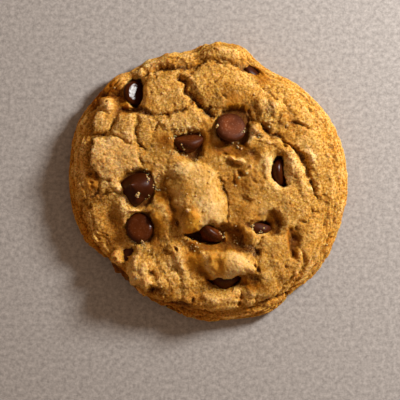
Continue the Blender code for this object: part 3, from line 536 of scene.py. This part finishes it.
def surface_normals(points):
    across, up = np.gradient(points, axis=(0, 1))
    normal = np.cross(across, up)
    return normal / np.maximum(np.linalg.norm(normal, axis=-1, keepdims=True), 1e-9)


def above_mean(grid, cells):
    """How far each value is above the mean over a square reaching that many cells each way, taken twice."""
    mean = grid
    for _ in range(2):
        for axis in (0, 1):
            pad = [(cells + 1, cells) if axis == a else (0, 0) for a in (0, 1)]
            sums = np.cumsum(np.pad(mean, pad, mode="edge"), axis=axis)
            high = np.take(sums, range(2 * cells + 1, sums.shape[axis]), axis=axis)
            low = np.take(sums, range(0, sums.shape[axis] - 2 * cells - 1), axis=axis)
            mean = (high - low) / (2 * cells + 1)
    return grid - mean


# The dough

WANDER_LENGTH, WANDER = 3.2, 0.55  # the bends that every edge has
RAGGED_LENGTH, RAGGED = 1.3, 0.3  # the finer ones of a broken edge
SWELL_LENGTH, SWELL = 9.0, 0.45  # the broad unevenness of the crown
EDGE_BAND = 0.88, 0.995  # the share of the way out over which the crown's forms fade
SIDE_BAND = 0.80, 0.92  # and over which the sheltered side turns smooth
FOLD_LENGTH, FOLD_DEPTH = 5.0, 0.75
CLUMP_LENGTH, CLUMP_RISE, CLUMP_GAP = 4.4, 0.9, 0.4
GRAINS = (  # (length, rise, seed) of each size of grain in the crumb
    (2.6, 0.27, 62),
    (1.35, 0.24, 64),
    (0.8, 0.14, 66),
)
PORE_SPACING, PORE_DEPTH, PORE_SHARE = 2.2, 0.30, 0.35
# TONE_CONTRAST sets how strongly the crust's height is painted in as light and shade
MIDDLE_TONE, TONE_CONTRAST = 0.55, 0.42


def puck_grid():
    """(share of the way out, bearing, point) of the plain puck"""
    share, bearing = disc_grid(DOUGH_CELLS)
    radius, height = meridian(share)
    thin = smooth(0.76, 0.92, share) * around(bearing, THINS)
    thinned = EQUATOR_HEIGHT + (height - EQUATOR_HEIGHT) * (1 - thin)
    height = np.where(height > EQUATOR_HEIGHT, thinned, height)
    radius = radius * rim_radius(bearing) * (1 - around(bearing, TRIMS))
    return share, bearing, np.stack([radius * np.cos(bearing), radius * np.sin(bearing), height], axis=-1)


def plan(puck, bend):
    return np.moveaxis(puck[..., :2] + bend, -1, 0)


def crown(puck, whole, broken):
    """(height of the lumps, plates and flaps, how new the skin is)

    whole and broken are x and y as seen by a whole edge and by a broken one.
    """
    height = SWELL * layered_noise(puck, SWELL_LENGTH, 21, 2)
    height = sum((lump_height(*whole, lump) for lump in LUMPS), height)
    for rise, edge, *corners in SLABS:
        height = height + rise * shoulder(depth_inside(*broken, corners) + 0.2, 2.4 * edge)
    fresh = np.zeros_like(height)
    for lump, edge, newness, *corners in FLAPS:
        inside = shoulder(depth_inside(*(whole if newness else broken), corners), edge)
        height = height + lump_height(*whole, lump) * inside
        fresh = np.maximum(fresh, newness * inside)
    return height, fresh


def cracked(puck, broken):
    """The cracks' height, below 0: creases with rounded shoulders, whose core is a third of their width."""
    strength = varied(puck, 2.5, 41, 0.65, 0.8, 0.15, 1.1)
    swell = varied(puck, 1.9, 42, 0.75, 0.8, 0.35, 1.5)
    height = np.zeros_like(strength)
    for width, depth, *line in CRACKS:
        gap = np.maximum(distance_to_line(*broken, line) / swell - width / 6, 0)
        height = np.minimum(height, -depth * (1 - shoulder(gap, 1.1 * width)) * strength)
    return height


def folded(puck, broken, share, bearing, fade):
    """Height of the rolls, and of the folds that run along the rim."""
    rolls = np.zeros_like(share)
    for width, rise, *line in RIDGES:
        away = np.clip(distance_to_line(*broken, line) / width, 0, 1)
        rolls = np.maximum(rolls, rise * np.sqrt(1 - away**2))
    ring = np.stack([share * 50 / 1.5, np.cos(bearing) * 4.4, np.sin(bearing) * 4.4], axis=-1)
    ring = ring + 0.5 * noise(puck, FOLD_LENGTH, 51)[..., None]
    folds = np.clip(1 - np.abs(noise(ring, 1.0, 52)) * 3.2, 0, 1) ** 2
    rim_share = smooth(0.70, 0.86, share) * (1 - smooth(0.97, 1.0, share))
    return -FOLD_DEPTH * folds * rim_share + rolls * np.maximum(fade, 0.6) * varied(
        puck, FOLD_LENGTH, 53, 0.8, 0.6, 0.4, 1.2)


def opened_up(level, puck, ragged):
    """(the level with the openings sunk into it, how open it is, how much painted shade darkens it)"""
    opened = np.zeros_like(level)
    stain_and_painted_shade = np.zeros_like(level)
    for floor, edge, painted_inner_shade, fray, *corners in OPENINGS:
        within = depth_inside(*plan(puck, fray * ragged), corners)
        share_open = smooth(-edge / 2, edge / 2, within)
        level = level - 0.8 * smooth(-2.2, 0, within) ** 2
        level = level + (np.minimum(level, floor) - level) * share_open
        opened = np.maximum(opened, share_open)
        stain_and_painted_shade = np.maximum(stain_and_painted_shade, painted_inner_shade * share_open)
    return level, opened, stain_and_painted_shade


def clumps_and_grains(surface, clumpy):
    """Heights of the rounded clumps and of the grains of several sizes."""
    near, next_near, token = nearest_seeds(
        surface + 0.9 * noise_vector(surface, 3.0, (57, 58, 59)), CLUMP_LENGTH, 60)
    clumps = np.clip(1 - (near / 0.95) ** 2, 0, 1) * shoulder(next_near - near, 0.3) * (0.5 + 0.5 * token)
    grains = 0
    for length, rise, seed in GRAINS:
        bent = surface + 0.3 * length * noise(surface, 0.9 * length, seed)[..., None]
        near, next_near, token = nearest_seeds(bent, length, seed + 1)
        grain = shoulder(next_near - near, 0.8) * (0.3 + 0.7 * token) * (1 - 0.5 * near**2)
        grains = grains + rise * (grain - 0.4) * (1 + 0.3 * clumpy)
    return CLUMP_RISE * clumps * clumpy, grains + 0.10 * layered_noise(surface, 1.1, 68, 3)


def dough_surface():
    """Points of the dough's skin on the grid, and named maps of what it is like at each."""
    share, bearing, puck = puck_grid()
    wander = WANDER * noise_vector(puck, WANDER_LENGTH, (11, 12), 3)
    ragged = wander + RAGGED * noise_vector(puck, RAGGED_LENGTH, (13, 14), 2)
    whole, broken = plan(puck, wander), plan(puck, ragged)
    fade = 1 - smooth(*EDGE_BAND, share)
    broad, fresh = crown(puck, whole, broken)
    relief = broad * fade + cracked(puck, broken) * np.maximum(fade, 0.5)
    relief = relief + folded(puck, broken, share, bearing, fade)
    surface = puck + surface_normals(puck) * relief[..., None]
    unopened = surface[..., 2].copy()
    surface[..., 2], opened, stain_and_painted_shade = opened_up(unopened, puck, ragged)

    moist_and_painted_shade = strongest(*whole, MOIST_AND_PAINTED_SHADE)
    stain_and_painted_shade = np.maximum(stain_and_painted_shade, np.clip(moist_and_painted_shade - 1, 0, 1))
    moist_and_painted_shade = np.clip(moist_and_painted_shade + 0.5 * smooth(0.9, 1.0, opened), 0, 1)
    clumpy = strongest(*whole, CLUMPY)
    calm = around(bearing, CALMS)
    sheltered = smooth(*SIDE_BAND, share) * (0.5 + 0.5 * np.cos(bearing - SMOOTH_BEARING))
    rough = (1 - 0.5 * moist_and_painted_shade) * (1 - 0.65 * sheltered) * (1 - 0.2 * fresh) * (1 - calm)

    clumps, grains = clumps_and_grains(surface, clumpy)
    clumps = clumps * (1 - smooth(0.4, 1.0, opened))
    away, _, token = nearest_seeds(surface, PORE_SPACING, 67)
    pores = (1 - smooth(0.08, 0.26, away)) * (token < PORE_SHARE) * rough
    grains = grains * rough - PORE_DEPTH * pores
    relief = clumps + relief + np.minimum(surface[..., 2] - unopened, 0)
    rise = (grains + clumps - CLUMP_GAP * clumpy) * smooth(0.2, 1.6, puck[..., 2])
    surface = surface + surface_normals(surface) * rise[..., None]
    surface[..., 2] = np.maximum(surface[..., 2], 0)

    # painted shade and light: the crust is darker where it lies below its surroundings, in hollows, cracks,
    # openings and between grains, and paler where it stands above them
    tone_and_painted_shade = above_mean(grains, 3) / 0.40 + above_mean(relief, 4) / 1.4 + above_mean(relief, 16) / 2.6
    tone_and_painted_shade = MIDDLE_TONE + TONE_CONTRAST * (tone_and_painted_shade + 0.2 * layered_noise(surface, 4.0, 73, 2))
    # painted light and shade from the patches, added to the tone
    tone_and_painted_shade = sum((lump_height(*whole, patch, PAINTED_LIGHT_FLATNESS) for patch in TONE_AND_PAINTED_LIGHT), tone_and_painted_shade)
    # the rim's browning, made strongest on the side turned from the lamp: browning and painted shade
    shade_side_share = 0.42 + 0.45 * np.cos(bearing - PAINTED_SHADE_BEARING) + 0.2 * noise(puck, 5.0, 71)
    dark_foot = (1 - smooth(3.0, 6.8, puck[..., 2])) * around(bearing, DARK_FOOT_PLACES)
    middle = 0.45 + 0.55 * smooth(0.25, 0.55, share)
    return surface, {
        "tone_and_painted_shade": np.clip(tone_and_painted_shade, 0, 1),
        "browning_and_painted_shade": smooth(0.60, 0.92, share) * shade_side_share,
        # painted shade: dark in the openings, the pores and the darkest moist places; also darker along part
        # of the rim's foot
        "painted_shade_and_dark_foot": np.clip(0.9 * stain_and_painted_shade + 0.4 * pores + dark_foot, 0, 1),
        "moist_and_painted_shade": moist_and_painted_shade,
        "pale": smooth(0.1, 0.6, layered_noise(surface, 1.6, 72, 3)) * rough,
        "foot": 1 - smooth(0.2, 2.4, puck[..., 2]),
        "crisp": middle * (1 - 0.7 * moist_and_painted_shade) * (1 - 0.5 * fresh) * (1 - 0.4 * clumpy) * (1 - calm),
    }


# Meshes


def add_object(name, data):
    made = bpy.data.objects.new(name, data)
    bpy.context.scene.collection.objects.link(made)
    return made


def add_mesh(name, points, faces, material, maps):
    """An object of those points in millimetres, with named maps of numbers at its points."""
    mesh = bpy.data.meshes.new(name)
    mesh.from_pydata((points * MM).tolist(), [], faces)
    mesh.shade_smooth()
    mesh.materials.append(material)
    for key, values in maps.items():
        layer = mesh.attributes.new(key, "FLOAT", "POINT")
        layer.data.foreach_set("value", np.asarray(values, np.float32).ravel())
    return add_object(name, mesh)


def add_dough(material, shift):
    """The grid as a closed mesh, with one flat face underneath."""
    points, maps = dough_surface()
    last = points.shape[0] - 1
    rows = last + 1
    edge = [(i, 0) for i in range(last)] + [(last, j) for j in range(last)]
    edge += [(last - i, last) for i in range(last)] + [(0, last - j) for j in range(last)]
    foot = [i * rows + j for i, j in reversed(edge)]
    flat = (points + shift).reshape(-1, 3)
    flat[foot, 2] = 0
    i, j = np.meshgrid(np.arange(last), np.arange(last), indexing="ij")
    corner = (i * rows + j).ravel()
    a, b, c, d = corner, corner + rows, corner + rows + 1, corner + 1
    keep = np.linalg.norm(flat[a] - flat[c], axis=1) <= np.linalg.norm(flat[b] - flat[d], axis=1)
    one = np.where(keep[:, None], np.stack([a, b, c], 1), np.stack([a, b, d], 1))
    two = np.where(keep[:, None], np.stack([a, c, d], 1), np.stack([b, c, d], 1))
    return add_mesh("cookie_dough", flat, np.concatenate([one, two]).tolist() + [foot], material, maps)


# Chocolate

MORSEL_RADIUS = 4.7
MORSEL_HEIGHT = 6.6
MORSEL_SHOULDER = 1.0
MORSEL_TAPER = 1.5
MORSEL_BULGE = 0.3  # how far the middle of its base stands out
MORSEL_TIP = 0.12
MORSEL_SIDES = 72
BLOOM_FADE_BEARING = math.radians(62)  # the bloom fades, and the chocolate darkens, on the side of each morsel that faces this bearing


class Chip(NamedTuple):
    """x, y and z of the middle of a morsel's base, and the bearing and the lift of its tip from there."""

    x: float
    y: float
    z: float
    bearing: float
    lift: float
    size: float
    bloom: float  # how pale and red its chocolate is
    gloss: float
    crush: float = 0.22  # how far its sides are pushed in and out, in millimetres before scaling
    slim: float = 1.0  # its share of its width along X


CHIPS = [Chip(*row) for row in (
    (6.8, 16.5, 12.3, 250, -60, 0.98, 0.8, 0), (-6.1, 13.3, 9.7, 277, -24, 0.98, 0.65, 0.15, 0.4),
    (-21.6, 26.6, 6.4, 205, -60, 0.8, 0, 1, 0.13), (-20.8, -2.4, 8.2, 150, 66, 1.05, 0.1, 0.35, 0.9),
    (-20.5, -13.7, 10.7, 250, -76, 0.96, 0.3, 0.75, 0.2, 0.88),
    (23, 2.8, 6.9, 183, -22, 0.95, 0.2, 0.65, 0.15), (1.7, -13.5, 8, 229, -16, 1, 0.7, 0.7),
    (15.1, -13.4, 6.4, 268, 14, 0.84, 0.4, 0.25, 1.2), (4.8, -27.4, 6.4, 268, 4, 1, 0.15, 0.6),
    (14, 33.9, 4.7, 225, -30, 0.78, 0.05, 0.4), (-23.7, -21.8, 5.2, 88, 50, 0.8, 0.15, 0.3),
)]


def morsel_points(seed, chip):
    """Rings of points up a whole morsel, from the middle of its base to its tip, slightly uneven."""
    turns = np.linspace(0, np.pi / 2, 9)
    base = np.linspace(0, MORSEL_RADIUS - MORSEL_SHOULDER, 10)[1:-1]
    climb = np.linspace(0, 1, 34)[1:]
    radius = np.concatenate([
        base,
        MORSEL_RADIUS - MORSEL_SHOULDER * (1 - np.sin(turns)),
        MORSEL_RADIUS * np.cos(climb * np.pi / 2) ** MORSEL_TAPER,
    ])
    height = np.concatenate([
        0 * base,
        MORSEL_SHOULDER * (1 - np.cos(turns)),
        MORSEL_SHOULDER + (MORSEL_HEIGHT - MORSEL_SHOULDER) * climb,
    ])
    radius[-1] = MORSEL_TIP
    turn = np.linspace(0, 2 * np.pi, MORSEL_SIDES, endpoint=False)
    points = np.empty((len(radius), MORSEL_SIDES, 3))
    points[..., :2] = radius[:, None, None] * np.stack([np.cos(turn), np.sin(turn)], axis=-1)
    points[..., 2] = height[:, None]
    moved = points + np.array([17.0 * seed, 0, 0])
    sway = chip.crush * noise(moved, 4.0, 81) + (0.04 + 0.06 * chip.gloss) * layered_noise(moved, 1.2, 82, 2)
    points[..., :2] *= 1 + sway[..., None] / np.maximum(radius[:, None, None], 1.5)
    bulge = np.where(height < 0.01, MORSEL_BULGE * (1 - (radius / MORSEL_RADIUS) ** 2), 0)
    sway = 0.10 * noise(moved, 3.0, 83) + 0.04 * chip.gloss * noise(moved, 1.0, 85)
    points[..., 2] += sway - bulge[:, None]
    return points


def morsel_bloom(points, seed, chip, stand):
    """How pale the chocolate is at each point: least at the edge of the base and on one side, the same side
    for every morsel.
    """
    bloom = 1 - 0.7 * smooth(0.55, 0.95, np.hypot(points[..., 0], points[..., 1]) / MORSEL_RADIUS)
    bloom = bloom * varied(points + 31.0 * seed, 3.0, 84, 0.85, 0.6, 0.3, 1.3)
    turned = points @ np.array(stand).T
    toward_fade = turned[..., 0] * math.cos(BLOOM_FADE_BEARING) + turned[..., 1] * math.sin(BLOOM_FADE_BEARING)
    bloom = bloom * (1 - 0.75 * smooth(0.2, 1.0, toward_fade / MORSEL_RADIUS))
    return np.clip(chip.bloom * np.append(bloom.ravel(), [1, 1]), 0, 1)


def add_morsel(number, chip, material, shift):
    points = morsel_points(number, chip)
    rings = len(points)
    top = points[-1].mean(axis=0) + np.array([0, 0, 0.05])
    low = rings * MORSEL_SIDES
    last = low - MORSEL_SIDES
    sides = [(k, (k + 1) % MORSEL_SIDES) for k in range(MORSEL_SIDES)]
    faces = []
    for ring in range(0, last, MORSEL_SIDES):
        above = ring + MORSEL_SIDES
        faces += [(ring + k, above + k, above + n, ring + n) for k, n in sides]
    for k, n in sides:
        faces += [(low, k, n), (low + 1, last + n, last + k)]
    bearing, lift = math.radians(chip.bearing), math.radians(chip.lift)
    tip = Vector((math.cos(lift) * math.cos(bearing), math.cos(lift) * math.sin(bearing), math.sin(lift)))
    stand = tip.to_track_quat("Z", "Y").to_matrix()
    vertices = np.concatenate([points.reshape(-1, 3), [points[0].mean(axis=0), top]])
    maps = {"bloom": morsel_bloom(points, number, chip, stand), "gloss": np.full(len(vertices), chip.gloss)}
    morsel = add_mesh(f"morsel_{number:02d}", vertices, faces, material, maps)
    shape = bmesh.new()
    shape.from_mesh(morsel.data)
    bmesh.ops.recalc_face_normals(shape, faces=shape.faces)
    shape.to_mesh(morsel.data)
    shape.free()
    place = Matrix.Translation((Vector((chip.x, chip.y, chip.z)) + Vector(shift)) * MM)
    turned = Matrix.Scale(chip.slim, 4, (1, 0, 0)) @ stand.to_4x4()
    morsel.data.transform(place @ turned @ Matrix.Scale(chip.size, 4))
    return morsel


# Crumbs

LOCAL_SPREAD = 5.0  # crumbs spread wider than this leave the chocolate clean
LOWEST_REST = 2 * MM  # no crumb rests lower than this on the rim
CRUMBS = (  # heaps of loose crumbs: (x, y, spread, count, length of the biggest, tone)
    (2.5, 16.2, 0.3, 2, 1.3, 0.9), (10.6, 15.2, 1, 9, 0.6, 0.9), (8.8, 10.3, 0.9, 5, 1, 0.5),
    (-17.8, 1.4, 1.3, 16, 0.9, 0.9), (-15.7, -2.2, 0.9, 8, 0.9, 0.6), (-21, -4.2, 0.5, 3, 1.7, 0.8),
    (-18, -5, 0.9, 6, 0.5, 0.7), (-22.6, -18.2, 0.9, 9, 0.8, 0.9), (-19, -19.2, 1.6, 14, 0.8, 0.8),
    (-8.6, 14.8, 1.2, 8, 0.8, 0.7), (-3.4, 7.6, 1.2, 6, 0.8, 0.7), (-6.3, -8.6, 0.1, 1, 1.7, 1),
    (11.6, 2.6, 0.2, 2, 1.7, 1), (9, 1, 0.4, 3, 1.2, 0.9), (-21.5, -29, 0.5, 3, 1.3, 0.9),
    (4.2, -16.2, 1, 9, 0.8, 0.7), (8, -16.4, 2, 5, 1, 0.5), (-4, -19, 2.2, 14, 0.9, 0.7),
    (14.2, 13.8, 2, 9, 1, 0.8), (18.6, 17.5, 3.2, 8, 1.2, 0.65), (-10.5, 8.6, 2.6, 12, 0.9, 0.7),
    (-10.4, 13, 0.8, 7, 0.9, 0.8), (-7.4, 8, 1, 7, 0.8, 0.8), (-3, 15, 1, 5, 0.7, 0.7),
    (13, -13.6, 0.8, 8, 0.9, 0.7), (15.6, -15.4, 1.2, 8, 0.7, 0.7), (0, 0, 24, 50, 0.9, 0.75),
)


def add_crumbs(solids, material, shift):
    """One mesh of loose crumbs, each resting on whatever is under it."""
    ground = []
    for solid in solids:
        corners = [vertex.co for vertex in solid.data.vertices]
        ground.append(BVHTree.FromPolygons(corners, [tuple(face.vertices) for face in solid.data.polygons]))
    shape = bmesh.new()
    bmesh.ops.create_icosphere(shape, subdivisions=2, radius=1)
    ball = np.array([vertex.co[:] for vertex in shape.verts])
    ball_faces = np.array([[vertex.index for vertex in face.verts] for face in shape.faces])
    shape.free()
    draw = np.random.default_rng(5)
    points, faces, tones = [], [], []
    for middle_x, middle_y, spread, count, biggest, shade in CRUMBS:
        for _ in range(count):
            away = draw.normal(0, spread * 0.6, 2)
            size = biggest / 2 * draw.uniform(0.45, 1.0)
            squash = draw.uniform(0.6, 1.0, 3)
            turn = draw.uniform(0, 2 * np.pi)
            tone_and_painted_shade = np.clip(shade + draw.uniform(-0.15, 0.15), 0, 1)
            x, y = np.array([middle_x, middle_y]) + away + shift[:2]
            hits = [tree.ray_cast((x * MM, y * MM, 0.1), (0, 0, -1))[0] for tree in ground]
            heights = [hit.z if hit else -1 for hit in hits]
            top = max(heights)
            if top < LOWEST_REST or (spread > LOCAL_SPREAD and top > heights[0]):
                continue
            lumpy = ball * (1 + 0.45 * noise(ball + 9.0 * len(points), 0.9, 91)[:, None]) * squash
            c, s = math.cos(turn), math.sin(turn)
            lumpy = lumpy @ np.array([[c, s, 0], [-s, c, 0], [0, 0, 1]]) * size
            faces.append(ball_faces + len(points) * len(ball))
            points.append(lumpy + (x, y, top / MM + 0.3 * size))
            tones.append(np.full(len(ball), tone_and_painted_shade))
    maps = {"tone_and_painted_shade": np.concatenate(tones), "dry": np.ones(len(points) * len(ball))}
    return add_mesh("crust_crumbs", np.concatenate(points), np.concatenate(faces).tolist(), material, maps)


# Materials


def set_inputs(tree, node, inputs):
    """Each input is linked to a socket or given a plain value."""
    for key, value in inputs.items():
        if isinstance(value, bpy.types.NodeSocket):
            tree.links.new(value, node.inputs[key])
        else:
            node.inputs[key].default_value = value


def add_node(tree, kind, inputs, **settings):
    made = tree.nodes.new(kind)
    for key, value in settings.items():
        setattr(made, key, value)
    set_inputs(tree, made, inputs)
    return made


def mixed(tree, share, first, second, blend="MIX"):
    """The colour first, going to second where share is 1."""
    inputs = {0: share}
    for key, shade in ((6, first), (7, second)):
        inputs[key] = shade if isinstance(shade, bpy.types.NodeSocket) else (*shade, 1)
    return add_node(tree, "ShaderNodeMix", inputs, data_type="RGBA", blend_type=blend).outputs[2]


def ranged(tree, value, low, high, to_low=0.0, to_high=1.0):
    return add_node(tree, "ShaderNodeMapRange", {0: value, 1: low, 2: high, 3: to_low, 4: to_high}).outputs[0]


def product(tree, first, second):
    return add_node(tree, "ShaderNodeMath", {0: first, 1: second}, operation="MULTIPLY").outputs[0]


def attribute(tree, name):
    return add_node(tree, "ShaderNodeAttribute", {}, attribute_name=name).outputs["Fac"]


def texture_noise(tree, place, length, detail=3.0, roughness=0.55):
    inputs = {"Vector": place, "Scale": 1 / (length * MM), "Detail": detail, "Roughness": roughness}
    return add_node(tree, "ShaderNodeTexNoise", inputs).outputs[0]


def bumped(tree, height, strength, distance):
    inputs = {"Height": height, "Strength": strength, "Distance": distance * MM}
    return add_node(tree, "ShaderNodeBump", inputs).outputs[0]


def new_material(name):
    material = bpy.data.materials.new(name)
    material.use_nodes = True
    tree = material.node_tree
    place = add_node(tree, "ShaderNodeTexCoord", {}).outputs["Object"]
    return material, tree, tree.nodes["Principled BSDF"], place


DOUGH_RAMP = (  # (tone, colour), with the two ends first
    (0.0, (0.10, 0.028, 0.002)),
    (0.98, (0.78, 0.55, 0.25)),
    (0.28, (0.29, 0.132, 0.009)),
    (0.55, (0.49, 0.262, 0.042)),
    (0.78, (0.605, 0.372, 0.106)),
)


def dough_material():
    material, tree, shader, place = new_material("baked_dough")
    tone_and_painted_shade, browning_and_painted_shade, painted_shade_and_dark_foot, moist_and_painted_shade, pale, foot, crisp = (
        attribute(tree, name) for name in ("tone_and_painted_shade", "browning_and_painted_shade", "painted_shade_and_dark_foot", "moist_and_painted_shade", "pale", "foot", "crisp"))
    # the tone, painted shade included, becomes the crust's colour
    ramp = add_node(tree, "ShaderNodeValToRGB", {0: tone_and_painted_shade})
    for stop, (position, shade) in enumerate(DOUGH_RAMP):
        mark = ramp.color_ramp.elements[stop] if stop < 2 else ramp.color_ramp.elements.new(position)
        mark.position = position
        mark.color = (*shade, 1)
    colour = mixed(tree, product(tree, pale, 0.25), ramp.outputs[0], (0.74, 0.46, 0.17))
    grain = ranged(tree, texture_noise(tree, place, 0.65, 3, 0.75), 0.46, 0.68)
    colour = mixed(tree, product(tree, grain, 0.4), colour, (0.82, 0.60, 0.28))
    speck = ranged(tree, texture_noise(tree, place, 0.8, 2, 0.6), 0.42, 0.30)
    colour = mixed(tree, product(tree, speck, 0.6), colour, (0.24, 0.085, 0.006))
    sand = ranged(tree, texture_noise(tree, place, 0.55, 2), 0.34, 0.54)
    colour = mixed(tree, crisp, colour, mixed(tree, sand, (0.60, 0.47, 0.27), (1.14, 1.15, 1.18)), "MULTIPLY")
    # browner towards the rim, and most on the side turned from the lamp as painted shade
    colour = mixed(tree, browning_and_painted_shade, colour, (0.97, 0.72, 0.27), "MULTIPLY")
    # darker, more olive-brown in the moist places: buttery colour and painted shade
    colour = mixed(tree, product(tree, moist_and_painted_shade, 0.9), colour, (0.74, 0.50, 0.05), "MULTIPLY")
    hue = ranged(tree, texture_noise(tree, place, 4.0, 3), 0.35, 0.65)
    colour = mixed(tree, hue, colour, (0.96, 0.83, 0.57), "MULTIPLY")
    # painted shade in the openings, pores and darkest moist places, going to a dark brown
    colour = mixed(tree, product(tree, painted_shade_and_dark_foot, 0.88), colour, (0.15, 0.05, 0.007))
    colour = mixed(tree, foot, colour, (0.34, 0.145, 0.03))
    colour = mixed(tree, product(tree, attribute(tree, "dry"), 0.5), colour, (0.42, 0.31, 0.19))
    set_inputs(tree, shader, {
        "Base Color": colour,
        "Roughness": ranged(tree, moist_and_painted_shade, 0, 1, 0.86, 0.55),
        "Normal": bumped(tree, texture_noise(tree, place, 0.65, 3, 0.65), 0.7, 0.30),
        "Specular IOR Level": 0.08,
        "Subsurface Weight": 0.75,
        "Subsurface Radius": (1.0, 0.5, 0.18),
        "Subsurface Scale": 1.1 * MM,
    })
    return material


def chocolate_material():
    material, tree, shader, place = new_material("chocolate")
    bloom = attribute(tree, "bloom")
    cloud = ranged(tree, texture_noise(tree, place, 2.6, 4), 0.3, 0.7)
    colour = mixed(tree, bloom, (0.030, 0.005, 0.0006), (0.21, 0.045, 0.004))
    colour = mixed(tree, product(tree, cloud, 0.6), colour, (0.055, 0.010, 0.001))
    dust = ranged(tree, texture_noise(tree, place, 0.6, 3, 0.7), 0.56, 0.68)
    colour = mixed(tree, product(tree, dust, product(tree, bloom, 0.8)), colour, (0.36, 0.17, 0.09))
    set_inputs(tree, shader, {
        "Base Color": colour,
        "Roughness": ranged(tree, attribute(tree, "gloss"), 0, 1, 0.55, 0.12),
        "Normal": bumped(tree, texture_noise(tree, place, 1.1, 4), 0.35, 0.2),
        "Specular IOR Level": 0.14,
    })
    return material


def floor_material():
    material, tree, shader, place = new_material("floor_paper")
    grain = ranged(tree, texture_noise(tree, place, 1.3, 4, 0.8), 0.36, 0.64)
    colour = mixed(tree, grain, (0.29, 0.268, 0.255), (0.50, 0.467, 0.445))
    set_inputs(tree, shader, {"Base Color": colour, "Roughness": 0.9})
    return material


# Scene

VIEW_CENTRE = (-2.52, -5.64)
VIEW_WIDTH = 120.0
VIEW_DISTANCE = 900.0
VIEW_LEVEL = 6.0
NEAREST_SEEN = 0.01
LIGHT_DIRECTION = (0.70, 0.46, 0.50)
LIGHT_DISTANCE = 400.0
LIGHT_SIZE = 105.0
LIGHT_POWER = 2.5
LIGHT_COLOUR = (1.0, 0.98, 0.95)
SKY_COLOUR = (0.275, 0.187, 0.128, 1)
FLOOR_REACH = 600.0


def add_camera(shift):
    camera = add_object("camera", bpy.data.cameras.new("camera"))
    camera.location = (Vector((*VIEW_CENTRE, VIEW_DISTANCE)) + Vector(shift)) * MM
    camera.data.lens = camera.data.sensor_width * (VIEW_DISTANCE - VIEW_LEVEL) / VIEW_WIDTH
    camera.data.clip_start = NEAREST_SEEN
    bpy.context.scene.camera = camera


def add_light():
    lamp = bpy.data.lights.new("key", "AREA")
    lamp.shape = "DISK"
    lamp.size = LIGHT_SIZE * MM
    lamp.energy = LIGHT_POWER
    lamp.color = LIGHT_COLOUR
    key = add_object("key", lamp)
    toward = Vector(LIGHT_DIRECTION).normalized()
    key.location = toward * LIGHT_DISTANCE * MM
    key.rotation_mode = "QUATERNION"
    key.rotation_quaternion = toward.to_track_quat("Z", "Y")
    world = bpy.context.scene.world or bpy.data.worlds.new("world")
    bpy.context.scene.world = world
    world.use_nodes = True
    sky = world.node_tree.nodes["Background"]
    sky.inputs["Color"].default_value = SKY_COLOUR
    sky.inputs["Strength"].default_value = 1.0


def add_floor():
    mesh = bpy.data.meshes.new("floor")
    half = FLOOR_REACH * MM
    corners = [(-half, -half, 0), (half, -half, 0), (half, half, 0), (-half, half, 0)]
    mesh.from_pydata(corners, [], [(0, 1, 2, 3)])
    mesh.materials.append(floor_material())
    floor = add_object("floor", mesh)


for old in list(bpy.data.objects):
    bpy.data.objects.remove(old, do_unlink=True)
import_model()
shift = recentring()

crust = dough_material()
dough = add_dough(crust, shift)
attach(dough, "root")
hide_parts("dough")

chocolate = chocolate_material()
morsels = []
for number, chip in enumerate(CHIPS, 1):
    morsel = add_morsel(number, chip, chocolate, shift)
    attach(morsel, "root")
    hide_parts(f"chip_{number:02d}")
    morsels.append(morsel)

crumbs = add_crumbs([dough, *morsels], crust, shift)
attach(crumbs, "root")

add_floor()
add_camera(shift)
add_light()
bpy.context.scene.view_settings.view_transform = "Standard"
bpy.context.view_layer.update()
